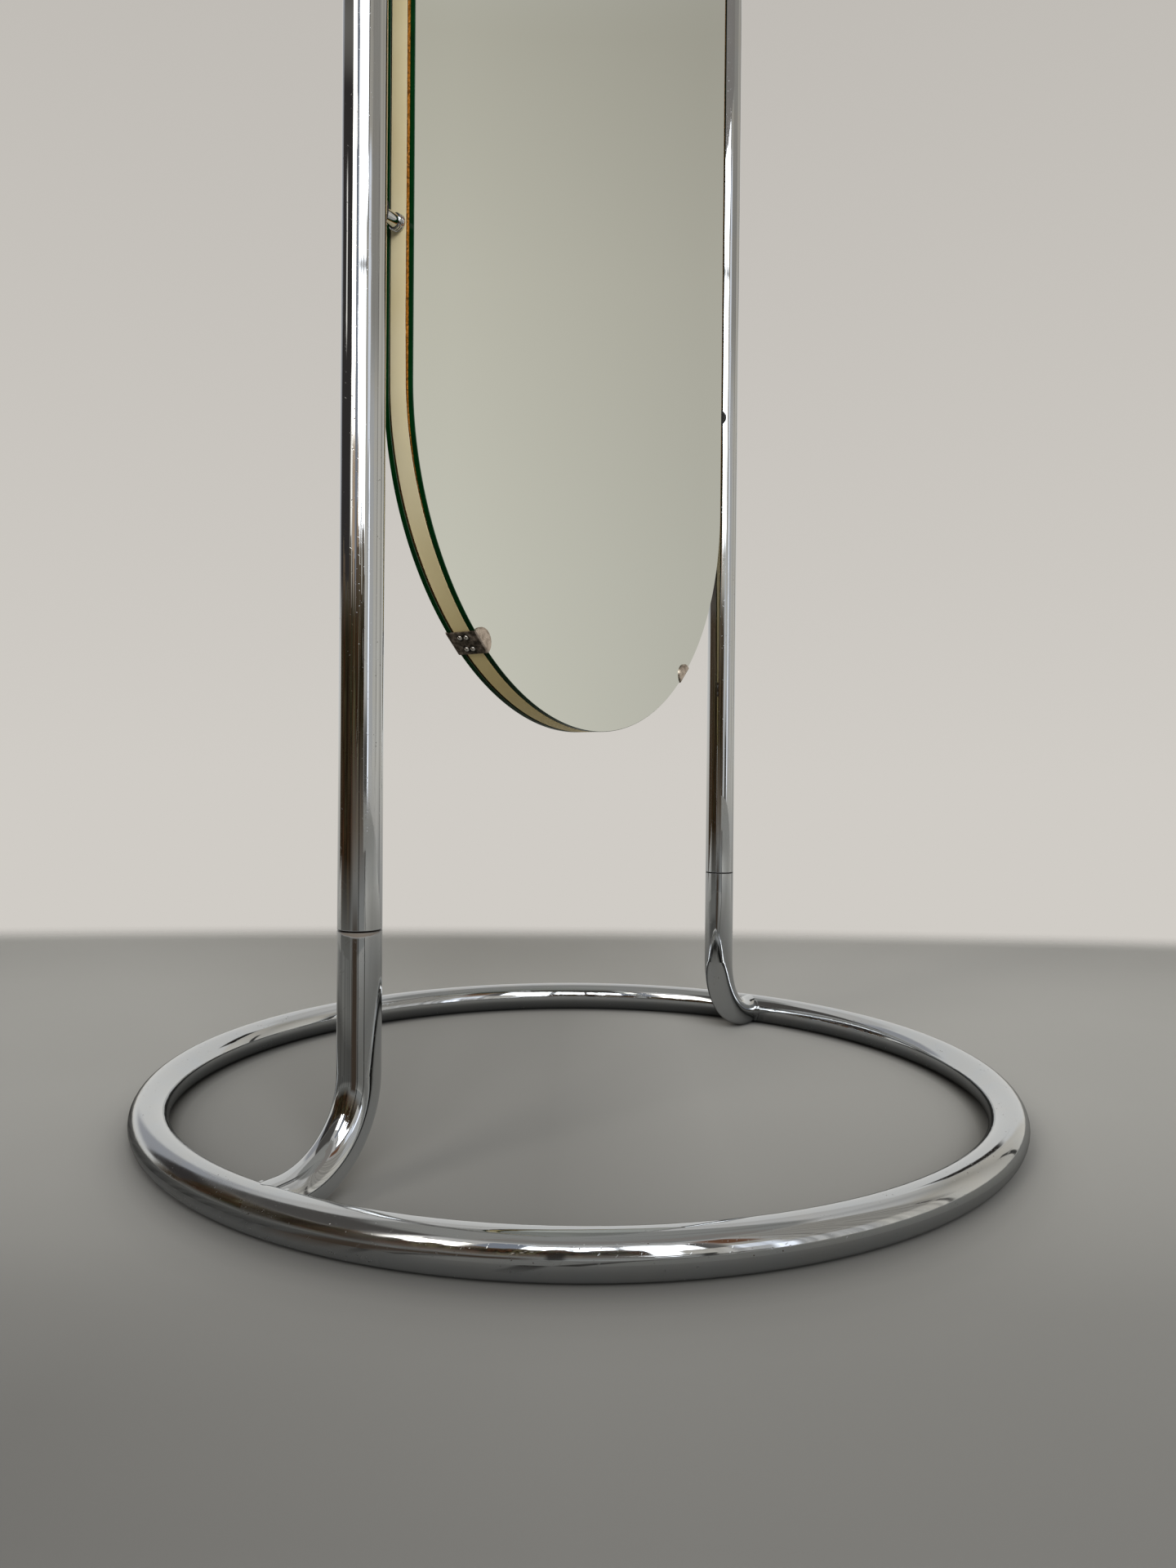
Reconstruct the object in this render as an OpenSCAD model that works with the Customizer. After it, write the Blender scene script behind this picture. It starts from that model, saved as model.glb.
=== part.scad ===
// Full-length double-sided mirror in a bent tube frame on a ring base.
// Millimetres. Origin on the floor at the centre of the ring, X from post to post, -Y the front, Z up.

/* [Tube] */
// Outer diameter of the chromed tube
tube_d = 25; // [20:0.5:27]
// Wall of the tube
tube_wall = 1.5; // [1:0.1:2.5]
// Edge break on a cut end of the tube
tube_edge = 0.4; // [0.1:0.1:0.8]

/* [Base] */
// Centre line radius of the bend at the foot of each stub
stub_bend_r = 55; // [40:1:80]
// Straight length of a stub between its bend and the inner side of the ring
stub_run = 2.5; // [1:0.5:40]
// Straight length of a stub between its bend and its joint with the frame
stub_rise = 80.5; // [40:0.5:140]
// Gap between the coped end of a stub and the ring
cope_gap = 0.1; // [0.05:0.01:0.3]
// Leg of the weld fillet
weld_leg = 1.8; // [1:0.1:3]
// Height at the top and bottom of the tube over which the weld is ground flush
weld_flush = 3; // [2:0.5:5]
// Vent hole through the ring's wall inside each stub, for draining the plating bath
vent_d = 8; // [5:0.5:12]

/* [Frame] */
// Gap between the mirror and the posts and arch round it
side_gap = 15.5; // [8:0.5:40]
// Length of joint sleeve inside the frame tube
sleeve_up = 80; // [40:1:120]
// Distance between the lower end of a joint sleeve and the stub's bend
sleeve_stop = 10.5; // [2:0.5:30]
// Wall of the joint sleeve
sleeve_wall = 2; // [1.5:0.1:4]
// Radial clearance between joint sleeve and tube
sleeve_fit = 0.1; // [0.02:0.01:0.2]

/* [Mirror] */
// Width of the mirror
mirror_w = 394; // [300:1:500]
// Height of the mirror
mirror_h = 1400; // [1000:5:1800]
// Height of the mirror's lower end above the floor
mirror_lift = 267; // [200:1:400]
// Thickness of one glass pane
glass_t = 4; // [3:0.5:6]
// Ground arris along the glass edge
glass_arris = 0.8; // [0.3:0.1:1.2]
// Thickness of the chipboard core
board_t = 15; // [12:1:19]
// Width of raw board that shows in front of the edge band
band_gap_front = 1.7; // [0.1:0.1:3]
// Width of raw board that shows behind the edge band
band_gap_rear = 0.3; // [0.1:0.1:3]
// Thickness of the edge band
band_t = 0.8; // [0.4:0.1:1.5]
// Glue line under the edge band
glue_line = 0.05; // [0.02:0.01:0.1]

/* [Pins] */
// Diameter of a pin
pin_d = 8; // [6:0.5:9]
// Distance of a pair of pins from the end of the mirror's straight sides
pin_rise = 91; // [20:1:200]
// Depth of a pin in the core
pin_depth = 45; // [30:1:80]
// How far a pin reaches past the inner side of its post
pin_reach = 7.5; // [5:0.5:12]
// Radial clearance round a pin
pin_fit = 0.05; // [0.02:0.01:0.1]
// Edge break on the ends of a pin
pin_edge = 0.6; // [0.2:0.1:1]
// Outer diameter of a collar
collar_d = 10; // [9.6:0.1:11]
// Length of a collar
collar_len = 4.2; // [3:0.1:6]
// Number of ribs round a collar
collar_ribs = 3; // [2:1:5]
// Height of the ribs round a collar
collar_rib_h = 0.35; // [0.2:0.05:0.5]

/* [Bushes] */
// Diameter of the bush where it passes through the tube's wall
bush_d = 12; // [11:0.5:13]
// Diameter of the bush's flange
bush_flange_d = 15; // [14:0.5:17]
// Thickness of the bush's flange
bush_flange_t = 1.2; // [0.8:0.1:2]
// Length of bush inside the tube, measured from the inside of its wall
bush_inside = 2.5; // [1:0.1:4]
// Clearance between bush and tube
bush_fit = 0.05; // [0.02:0.01:0.1]

/* [Clips] */
// Width of a clip along the mirror's edge
clip_w = 18; // [16:0.5:24]
// Thickness of the clip's steel
clip_t = 0.9; // [0.6:0.1:1.2]
// Inner radius of the clip's folds
clip_fold_r = 0.5; // [0.3:0.1:0.8]
// Clearance between clip and mirror
clip_fit = 0.05; // [0.02:0.01:0.1]
// Place of a clip on the mirror's round end, in degrees from the horizontal
clip_angle = 47.5; // [30:0.5:70]
// Diameter of a nail's head
nail_head_d = 3.4; // [2.6:0.1:4]
// Height of a nail's head
nail_head_h = 1.2; // [0.8:0.1:1.6]
// Diameter of a nail's shank
nail_d = 1.6; // [1.2:0.1:2]
// Length of a nail's shank
nail_len = 14; // [8:0.5:20]
// Clearance round a nail's shank
nail_fit = 0.05; // [0.02:0.01:0.1]
// Distance between nails along the edge
nail_pitch = 9.4; // [7:0.1:11]
// Distance between nails across the edge
nail_gauge = 5; // [4.2:0.1:7]

/* [Hidden] */

chrome = "#c9cbcc";
inner_steel = "#8f9294";
chipboard = "#9a5a22";
cream = "#c1b491";
mirror_glass = "#b9c4bd";
aged_nickel = "#8d8378";
black_rubber = "#1c1c1c";

tube_r = tube_d / 2;
bore_r = tube_r - tube_wall;
mirror_r = mirror_w / 2;
core_r = mirror_r - band_t - glue_line;
pane_y = board_t / 2;
face_y = pane_y + glass_t;

// Centre lines of the posts and the ring, the stub's bend between them, and the joint above it
post_x = mirror_r + side_gap + tube_r;
bend_x = post_x + stub_bend_r;
bend_z = tube_r + stub_bend_r;
ring_r = bend_x + stub_run + tube_r;
joint_z = bend_z + stub_rise;

// Centres of the mirror's two round ends, and the heights of the pins
low_z = mirror_lift + mirror_r;
high_z = mirror_lift + mirror_h - mirror_r;
pin_z = [low_z + pin_rise, high_z - pin_rise];

tube_fn = 96;
ring_fn = 180;
hole_fn = 48;
// Extra length that takes a cut clear of a surface
over = 1;

left = -1;
right = 1;
lower = 0;
upper = 1;

// Section of the tube in the plane
module tube_section() {
    difference() {
        circle(r = tube_r, $fn = tube_fn);
        circle(r = bore_r, $fn = tube_fn);
    }
}

// Upright tube between two heights, with the edge broken at the bottom or the top
module upright(z0, z1, break_low, break_high) {
    rotate_extrude($fn = tube_fn) polygon([
        [bore_r, z0],
        [tube_r - break_low, z0],
        [tube_r, z0 + break_low],
        [tube_r, z1 - break_high],
        [tube_r - break_high, z1],
        [bore_r, z1]
    ]);
}

// Space that the ring takes, grown by a margin
module ring_space(margin) {
    translate([0, 0, tube_r]) rotate_extrude($fn = ring_fn) translate([ring_r, 0])
        circle(r = tube_r + margin, $fn = tube_fn);
}

// Puts what is drawn for the right side on the given side
module on_side(side) {
    mirror([side == left ? 1 : 0, 0, 0]) children();
}

// Lays a shape that points up along X
module lie_along_x() {
    rotate([0, 90, 0]) children();
}

// Ring

module base_ring() {
    color(chrome) difference() {
        translate([0, 0, tube_r]) rotate_extrude($fn = ring_fn) translate([ring_r, 0]) tube_section();
        for (side = [left, right])
            on_side(side) translate([ring_r - tube_d, 0, tube_r]) lie_along_x()
                cylinder(d = vent_d, h = tube_d, $fn = hole_fn);
    }
}

// Stubs: down from the joint, round the bend and out to the ring, where the end is coped to fit

module stub(side) {
    color(chrome) on_side(side) difference() {
        union() {
            translate([post_x, 0, 0]) upright(bend_z, joint_z, 0, tube_edge);
            translate([bend_x, 0, bend_z]) rotate([90, 0, 0]) rotate([0, 0, 180])
                rotate_extrude(angle = 90, $fn = tube_fn) translate([stub_bend_r, 0]) tube_section();
            translate([bend_x, 0, tube_r]) lie_along_x()
                linear_extrude(height = ring_r - bend_x) tube_section();
        }
        ring_space(cope_gap);
    }
}

// Welds: the two fillets in the corners between stub and ring

module weld(side) {
    start_x = ring_r - tube_d;
    weld_gap = cope_gap / 2;
    color(chrome) on_side(side) difference() {
        intersection() {
            translate([start_x, 0, tube_r]) lie_along_x()
                cylinder(r = tube_r + weld_leg, h = tube_d, $fn = tube_fn);
            ring_space(weld_leg);
            translate([ring_r - tube_r, 0, tube_r])
                cube([tube_d, 2 * tube_d, tube_d - 2 * weld_flush], center = true);
        }
        translate([start_x - over, 0, tube_r]) lie_along_x()
            cylinder(r = tube_r + weld_gap, h = tube_d + 2 * over, $fn = tube_fn);
        ring_space(weld_gap);
    }
}

// Joint sleeves inside the stubs and posts

module joint_sleeve(side) {
    sleeve_r = bore_r - sleeve_fit;
    foot_z = bend_z + sleeve_stop;
    sleeve_h = joint_z + sleeve_up - foot_z;
    color(inner_steel) on_side(side) translate([post_x, 0, foot_z]) difference() {
        cylinder(r = sleeve_r, h = sleeve_h, $fn = tube_fn);
        translate([0, 0, -over]) cylinder(r = sleeve_r - sleeve_wall, h = sleeve_h + 2 * over, $fn = tube_fn);
    }
}

// Frame: two posts and a round top that follows the mirror's end, one bent tube

module hoop() {
    color(chrome) difference() {
        union() {
            for (side = [left, right])
                on_side(side) translate([post_x, 0, 0]) upright(joint_z, high_z, tube_edge, 0);
            translate([0, 0, high_z]) rotate([90, 0, 0]) rotate_extrude(angle = 180, $fn = ring_fn)
                translate([post_x, 0]) tube_section();
        }
        for (side = [left, right], z = pin_z)
            on_side(side) translate([post_x - tube_d, 0, z]) lie_along_x()
                cylinder(r = bush_d / 2 + bush_fit, h = tube_d, $fn = hole_fn);
    }
}

// Mirror panel

// Plate with round ends, standing upright from y = 0 towards the back, its edges broken on both faces
module round_ended_plate(r, thick, arris) {
    profile = [
        [0, 0],
        [r - arris, 0],
        [r, arris],
        [r, thick - arris],
        [r - arris, thick],
        [0, thick]
    ];
    translate([0, thick, 0]) rotate([90, 0, 0]) {
        translate([0, high_z, 0])
            rotate_extrude(angle = 180, $fn = ring_fn) polygon(profile);
        translate([0, low_z, 0]) rotate([0, 0, 180])
            rotate_extrude(angle = 180, $fn = ring_fn) polygon(profile);
        for (side = [left, right]) on_side(side) translate([0, high_z, 0]) rotate([90, 0, 0])
            linear_extrude(height = high_z - low_z) polygon(profile);
    }
}

// Outline with round ends, flat in the plane
module round_ended_outline(r) {
    translate([-r, low_z]) square([2 * r, high_z - low_z]);
    translate([0, low_z]) circle(r = r, $fn = ring_fn);
    translate([0, high_z]) circle(r = r, $fn = ring_fn);
}

// Bores for the four pins
module pin_bores() {
    for (side = [left, right], z = pin_z)
        on_side(side) translate([mirror_r - pin_depth, 0, z]) lie_along_x()
            cylinder(r = pin_d / 2 + pin_fit, h = pin_depth + over, $fn = hole_fn);
}

module core_board() {
    color(chipboard) difference() {
        rotate([90, 0, 0]) linear_extrude(height = board_t, center = true) round_ended_outline(core_r);
        pin_bores();
        nail_holes();
    }
}

module edge_band() {
    color(cream) difference() {
        translate([0, pane_y - band_gap_rear, 0]) rotate([90, 0, 0])
            linear_extrude(height = board_t - band_gap_front - band_gap_rear) difference() {
                round_ended_outline(mirror_r);
                round_ended_outline(mirror_r - band_t);
            }
        pin_bores();
        nail_holes();
    }
}

module front_pane() {
    color(mirror_glass) translate([0, -face_y, 0]) round_ended_plate(mirror_r, glass_t, glass_arris);
}

module rear_pane() {
    color(mirror_glass) translate([0, pane_y, 0]) round_ended_plate(mirror_r, glass_t, glass_arris);
}

// Clips. Their own frame: X along the mirror's edge, Y through the mirror, Z outwards from the edge

module at_clip(side, level) {
    on_side(side) translate([0, 0, level == upper ? high_z : low_z]) mirror([0, 0, level == lower ? 1 : 0])
        rotate([0, 90 - clip_angle, 0]) translate([0, 0, mirror_r + clip_fit]) children();
}

// Strip with half-round ends, folded over the edge of both panes
module clip(side, level) {
    reach = face_y + clip_fit + clip_t;
    color(aged_nickel) at_clip(side, level) difference() {
        intersection() {
            rotate([0, 90, 0]) linear_extrude(height = clip_w, center = true) clip_section();
            rotate([90, 0, 0]) linear_extrude(height = 2 * reach, center = true) {
                translate([-clip_w / 2, 0]) square([clip_w, clip_t]);
                circle(d = clip_w, $fn = hole_fn);
            }
        }
        nail_set(over) cylinder(r = nail_d / 2 + nail_fit, h = clip_t + 2 * over, $fn = hole_fn);
    }
}

// Section of a clip: a channel that opens towards +X, its back at x = -clip_t
module clip_section() {
    inside = face_y + clip_fit;
    difference() {
        channel(-clip_t, inside + clip_t, clip_fold_r + clip_t);
        channel(0, inside, clip_fold_r);
    }
}

// Solid channel from its back to one clip's width, with round corners at the back
module channel(back, half_w, corner_r) {
    translate([back + corner_r, -half_w]) square([clip_w, 2 * half_w]);
    translate([back, corner_r - half_w]) square([corner_r, 2 * (half_w - corner_r)]);
    for (end = [-1, 1]) translate([back + corner_r, end * (half_w - corner_r)])
        circle(r = corner_r, $fn = hole_fn);
}

// Four places in a clip's frame, lowered by the given depth
module nail_set(depth) {
    for (x = [-1, 1], y = [-1, 1])
        translate([x * nail_pitch / 2, y * nail_gauge / 2, -depth]) children();
}

module nail_holes() {
    for (side = [left, right], level = [lower, upper]) at_clip(side, level)
        nail_set(nail_len) cylinder(r = nail_d / 2 + nail_fit, h = nail_len + over, $fn = hole_fn);
}

module clip_nails() {
    ball_r = (pow(nail_head_d / 2, 2) + pow(nail_head_h, 2)) / (2 * nail_head_h);
    color(chrome) for (side = [left, right], level = [lower, upper]) at_clip(side, level)
        nail_set(0) {
            intersection() {
                translate([0, 0, clip_t + nail_head_h - ball_r]) sphere(r = ball_r, $fn = hole_fn);
                translate([0, 0, clip_t]) cylinder(d = nail_head_d, h = nail_head_h + over, $fn = hole_fn);
            }
            translate([0, 0, clip_t - nail_len]) cylinder(d = nail_d, h = nail_len, $fn = hole_fn);
        }
}

// Pins, collars and bushes. Pins and collars stand on the mirror's edge, Z pointing to the post

module at_pin(side, level) {
    on_side(side) translate([mirror_r, 0, pin_z[level]]) lie_along_x() children();
}

module pin(side, level) {
    r = pin_d / 2;
    foot = -pin_depth;
    tip = side_gap + pin_reach;
    color(chrome) at_pin(side, level) rotate_extrude($fn = hole_fn) polygon([
        [0, foot],
        [r - pin_edge, foot],
        [r, foot + pin_edge],
        [r, tip - pin_edge],
        [r - pin_edge, tip],
        [0, tip]
    ]);
}

// Collar with ribs round it, seated on the edge band
module collar(side, level) {
    inner = pin_d / 2 + pin_fit;
    crest_r = collar_d / 2;
    root_r = crest_r - collar_rib_h;
    pitch = collar_len / collar_ribs;
    slope = pitch / 3;
    color(chrome) at_pin(side, level) rotate_extrude($fn = hole_fn) polygon([
        [inner, 0],
        [root_r, 0],
        for (rib = [1 : collar_ribs]) each [
            [crest_r, (rib - 1) * pitch + slope],
            [crest_r, rib * pitch - slope],
            [root_r, rib * pitch]
        ],
        [inner, collar_len]
    ]);
}

// Bush in a hole in the inner side of a post, with a flange that lies round the post
module bush(side, level) {
    seat_r = tube_r + bush_fit;
    depth = tube_wall + bush_inside;
    tall = 2 * bush_flange_d;
    color(black_rubber) on_side(side) translate([post_x, 0, pin_z[level]]) mirror([1, 0, 0]) difference() {
        intersection() {
            cylinder(r = seat_r + bush_flange_t, h = tall, center = true, $fn = tube_fn);
            union() {
                difference() {
                    lie_along_x() cylinder(d = bush_flange_d, h = tube_d, $fn = hole_fn);
                    cylinder(r = seat_r, h = tall + over, center = true, $fn = tube_fn);
                }
                translate([tube_r - depth, 0, 0]) lie_along_x()
                    cylinder(d = bush_d, h = tube_r, $fn = hole_fn);
            }
        }
        lie_along_x() cylinder(r = pin_d / 2 + pin_fit, h = tube_d, $fn = hole_fn);
    }
}

base_ring();
stub(left);  // left_stub
stub(right);  // right_stub
weld(left);  // left_weld
weld(right);  // right_weld
joint_sleeve(left);  // left_sleeve
joint_sleeve(right);  // right_sleeve
hoop();
core_board();
edge_band();
front_pane();
rear_pane();
clip(left, lower);  // lower_left_clip
clip(right, lower);  // lower_right_clip
clip(left, upper);  // upper_left_clip
clip(right, upper);  // upper_right_clip
clip_nails();
pin(left, lower);  // lower_left_pin
pin(right, lower);  // lower_right_pin
pin(left, upper);  // upper_left_pin
pin(right, upper);  // upper_right_pin
collar(left, lower);  // lower_left_collar
collar(right, lower);  // lower_right_collar
collar(left, upper);  // upper_left_collar
collar(right, upper);  // upper_right_collar
bush(left, lower);  // lower_left_bush
bush(right, lower);  // lower_right_bush
bush(left, upper);  // upper_left_bush
bush(right, upper);  // upper_right_bush
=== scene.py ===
# %% [markdown]
# # A full-length mirror on a tubular stand
# This notebook dresses a finished CAD model. Its steel tube, glass, board and fittings already have
# their true sizes, so here they get the finish that the eye expects of them: chrome that shows the
# studio round it, dark green glass edges, a yellowed edge band and old nickel clips.

# %% Load the fixed frame
import math

import bmesh
import bpy
from mathutils import Matrix, Vector, noise


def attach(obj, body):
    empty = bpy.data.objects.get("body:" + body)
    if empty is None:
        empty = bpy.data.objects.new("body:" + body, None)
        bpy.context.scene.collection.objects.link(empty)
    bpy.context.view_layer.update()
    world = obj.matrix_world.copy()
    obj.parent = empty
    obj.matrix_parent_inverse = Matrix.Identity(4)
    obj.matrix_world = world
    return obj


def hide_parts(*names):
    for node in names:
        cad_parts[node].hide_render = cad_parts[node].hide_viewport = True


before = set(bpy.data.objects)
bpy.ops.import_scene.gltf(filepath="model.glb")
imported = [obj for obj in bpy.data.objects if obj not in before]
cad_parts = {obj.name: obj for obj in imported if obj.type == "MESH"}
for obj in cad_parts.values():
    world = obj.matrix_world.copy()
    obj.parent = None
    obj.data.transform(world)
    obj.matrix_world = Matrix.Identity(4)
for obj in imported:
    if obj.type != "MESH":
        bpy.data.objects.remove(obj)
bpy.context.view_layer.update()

# %% [markdown]
# ## The sizes that the pieces share
# The pieces below repeat the route of the tube and the outline of the panel, so these few sizes are
# written once, in metres. Each matches the CAD model.

# %% Sizes
TUBE_R = 0.0125
RING_R = 0.295
POST_X = 0.225
BEND_X = 0.280
BEND_Z = 0.0675
BEND_R = 0.055
JOINT_Z = 0.148
PANEL_R = 0.197
LOW_Z = 0.464
HIGH_Z = 1.470
BOARD_HALF = 0.0075
GLASS_T = 0.004
FACE_Y = BOARD_HALF + GLASS_T
print("tube", 2000 * TUBE_R, "mm; panel", 2000 * PANEL_R, "mm wide")

# %% [markdown]
# ## Helpers for materials
# Colours are picked as the hex values that a screen shows, and Blender works in linear light, so one
# function converts them. The next adds any shader node with its settings and its links, which keeps
# each material short enough to read. Two more set the stops of a colour ramp and start a material.

# %% Colour and node helpers


def linear(hex_colour):
    """Turns a screen colour such as "#C1B491" into Blender's linear red, green, blue and alpha."""
    channels = [int(hex_colour[i:i + 2], 16) / 255 for i in (1, 3, 5)]
    return [c / 12.92 if c <= 0.04045 else ((c + 0.055) / 1.055) ** 2.4 for c in channels] + [1.0]


def add(tree, kind, inputs=(), **settings):
    """Adds a node. A node or socket given as an input is linked, and anything else is its value."""
    made = tree.nodes.new(kind)
    for name, value in settings.items():
        setattr(made, name, value)
    for key, value in dict(inputs).items():
        if isinstance(value, bpy.types.Node):
            value = value.outputs[0]
        if isinstance(value, bpy.types.NodeSocket):
            tree.links.new(value, made.inputs[key])
        else:
            made.inputs[key].default_value = value
    return made


def fill_ramp(ramp, steps):
    """Sets a ramp's stops to (position, tone) pairs in order. A tone is a hex colour or a grey."""
    colours = [linear(tone) if isinstance(tone, str) else (tone, tone, tone, 1.0) for _, tone in steps]
    stops = ramp.color_ramp.elements
    stops[0].position, stops[0].color = steps[0][0], colours[0]
    stops[1].position, stops[1].color = steps[-1][0], colours[-1]
    for (position, _), colour in zip(steps[1:-1], colours[1:-1]):
        stops.new(position).color = colour


def new_material(name, **values):
    """A material with one Principled shader, and its values. A name's underscores stand for spaces."""
    made = bpy.data.materials.new(name)
    made.use_nodes = True
    shader = made.node_tree.nodes["Principled BSDF"]
    for socket, value in values.items():
        shader.inputs[socket.replace("_", " ")].default_value = value
    return made, made.node_tree, shader


print("cream reads as", [round(c, 3) for c in linear("#C1B491")])

# %% [markdown]
# ## Camera
# The picture was taken from close by, with a wide lens held a little lower than the mirror's lower
# end. That is why the posts run out of the frame and the ring is seen flat. The place and the angles
# were found by fitting a camera to the ring, the posts and the panel's outline.

# %% Camera
HEADING = math.radians(56.5985)
PITCH_DOWN = math.radians(0.6150)
ROLL = math.radians(-0.4893)

flat_forward = Vector((math.sin(HEADING), math.cos(HEADING), 0))
flat_right = Vector((math.cos(HEADING), -math.sin(HEADING), 0))
world_up = Vector((0, 0, 1))
forward = flat_forward * math.cos(PITCH_DOWN) - world_up * math.sin(PITCH_DOWN)
level_up = flat_forward * math.sin(PITCH_DOWN) + world_up * math.cos(PITCH_DOWN)
right = flat_right * math.cos(ROLL) - level_up * math.sin(ROLL)
up = flat_right * math.sin(ROLL) + level_up * math.cos(ROLL)

camera = bpy.data.objects.new("camera", bpy.data.cameras.new("camera"))
camera.data.lens = 25.033
camera.data.sensor_width = 36
camera.data.clip_start = 0.01
camera.matrix_world = Matrix((right, up, -forward)).transposed().to_4x4()
camera.location = (-0.6666, -0.4443, 0.2374)
bpy.context.scene.collection.objects.link(camera)
bpy.context.scene.camera = camera
print("camera at", [round(v, 3) for v in camera.location])

# %% [markdown]
# ## The studio round the mirror
# Chrome has no look of its own: it shows what is round it. A studio gives it pale walls, tall soft
# lights and dark cards, and the stripes on a tube are those lights squeezed to lines. Lights and
# cards as objects would work too, but they would stand in the way of views from behind. So they are
# drawn in the world by bearing and height, as softly edged rectangles on a pale wall. The camera
# itself sees the plain wall alone.

# %% Bearing and height
scene = bpy.context.scene
scene.view_settings.view_transform = "Standard"
world = bpy.data.worlds.new("studio")
scene.world = world
world.use_nodes = True
sky = world.node_tree
sky.nodes.clear()

DEGREES = 180 / math.pi
WALL_BEARING = 33.4  # degrees from +X to the middle of the wall that the camera faces

direction = add(sky, "ShaderNodeSeparateXYZ", {0: add(sky, "ShaderNodeTexCoord").outputs["Generated"]})
height_rad = add(sky, "ShaderNodeMath", {0: direction.outputs["Z"]}, operation="ARCSINE")
height = add(sky, "ShaderNodeMath", {0: height_rad, 1: DEGREES}, operation="MULTIPLY")
turn_rad = add(sky, "ShaderNodeMath", {0: direction.outputs["Y"], 1: direction.outputs["X"]},
               operation="ARCTAN2")
turn_deg = add(sky, "ShaderNodeMath", {0: turn_rad, 1: DEGREES, 2: -WALL_BEARING},
               operation="MULTIPLY_ADD")
bearing = add(sky, "ShaderNodeMath", {0: turn_deg, 1: 315.0, 2: -45.0}, operation="WRAP")
print("the wall's middle bears", WALL_BEARING, "degrees")

# %% Wall
# The tones round the object, from the floor up to the ceiling: height in degrees, and colour
WALL = [(-90, "#6E6D6A"), (-25, "#7E7D79"), (-8, "#A09F9B"), (-3, "#C0BDB7"), (1, "#D6D2C9"),
        (10, "#D2CEC5"), (24, "#C8C3B9"), (34, "#B9B4AA"), (42, "#C6C4C0"), (57, "#CFCDCA"),
        (61, "#969591"), (90, "#9C9B97")]
share = add(sky, "ShaderNodeMapRange", {0: height, 1: -90.0, 2: 90.0, 3: 0.0, 4: 1.0})
ramp = add(sky, "ShaderNodeValToRGB", {0: share})
fill_ramp(ramp, [((degrees + 90) / 180, colour) for degrees, colour in WALL])
around = ramp.outputs["Color"]
print("wall:", len(WALL), "tones")

# %% Upright lines
# Folds in the cloth over the lights, and uneven dark lines low down on one side
fold_noise = add(sky, "ShaderNodeTexNoise", {"W": bearing, "Scale": 0.42, "Detail": 3.0},
                 noise_dimensions="1D")
fold = add(sky, "ShaderNodeMapRange", {0: fold_noise.outputs["Fac"], 1: 0.35, 2: 0.65, 3: 0.45, 4: 1.3})
dark_noise = add(sky, "ShaderNodeTexNoise", {"W": bearing, "Scale": 0.45, "Detail": 4.0},
                 noise_dimensions="1D")
dark_lines = add(sky, "ShaderNodeValToRGB", {0: dark_noise.outputs["Fac"]})
fill_ramp(dark_lines, [(0.40, "#0E0B09"), (0.46, "#33241A"), (0.50, "#565236"), (0.53, "#15100C"),
                       (0.58, "#6A4527"), (0.62, "#1E1713"), (0.68, "#8A8378")])
print("upright lines: folds and dark lines")

# %% Lights and cards
# Bearing from the wall's middle, height, soft edge in degrees, colour, strength
CARDS = [
    ("bright wall", -40, 64, 1, 42, 3, "#DCDBD8", 1.0),
    ("wall end", 38, 62, 9, 42, 4, "#A6A7AB", 1.0),
    ("near wall", 213, 250, 0, 22, 4, "#C8C7C5", 1.0),
    ("dim upper wall", 232, 278, 20, 60, 3, "#A39F98", 1.0),
    ("thin dark card", 271, 273, 0, 30, 0.6, "#5E5A57", 1.0),
    ("grey edge", 303.5, 306, -10, 18, 0.6, "#4A4947", 1.0),
    ("dark flag", -40, -31, 22, 35, 1.5, "#2A2724", 1.0),
    ("unlit upper side", 60, 128, 33, 62, 3, "#55524F", 1.0),
    ("unlit side", 58, 130, 8, 33, 2, "#3A3736", 1.0),
    ("unlit low side", 66, 130, -9, 8, 2, "#403D3B", 1.0),
    ("small light", 88, 92, 21, 28, 1, "#FFFAF2", 1.2),
    ("left ledge", 126, 138, 7, 17, 2, "#A8A49C", 1.0),
    ("warm ledge", 140, 172, 9, 17, 2, "#C2A98F", 1.0),
    ("left light", 131, 151, 17, 47, 1, "#FFFAF2", 5.0),
    ("left light's foot", 130, 138, 12, 17, 1.5, "#FFFAF2", 1.6),
    ("pale pillar", 153, 166, 9, 56, 1, "#8D929C", 1.0),
    ("right light", 172, 203, 12, 49, 1, "#FAFCFF", 5.0),
    ("right light's left part", 166, 173, 17, 49, 1, "#FAFCFF", 5.0),
    ("right light's top", 202, 210, 27, 49, 1, "#FAFCFF", 5.0),
    ("thin upright bar", 178, 179.2, 11, 56, 0.5, "#5F5A56", 1.0),
    ("thick upright bar", 189.3, 192, 11, 56, 0.6, "#66676A", 1.0),
    ("level bar", 167, 209, 24, 24.6, 0.4, "#77716C", 1.0),
    ("gap", 210, 215, 26, 50, 1, "#6B6865", 1.0),
    ("brown card", 216, 228, 38, 56, 3, "#7A5844", 1.0),
    ("narrow light", 215.5, 227, 16, 29, 1, "#F2F6FF", 1.15),
    ("narrow light's foot", 223.5, 229, -1, 16, 1, "#F2F6FF", 1.8),
    ("low pale card", 193, 206, -8, 11, 2, "#D2D3D4", 1.0),
    ("low dark side", 67, 193, -6, 9, 1.5, "#2A211A", 0.0),
    ("dark foot", 206, 222, -6, 3, 2, "#5E5B57", 1.0),
]
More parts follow.
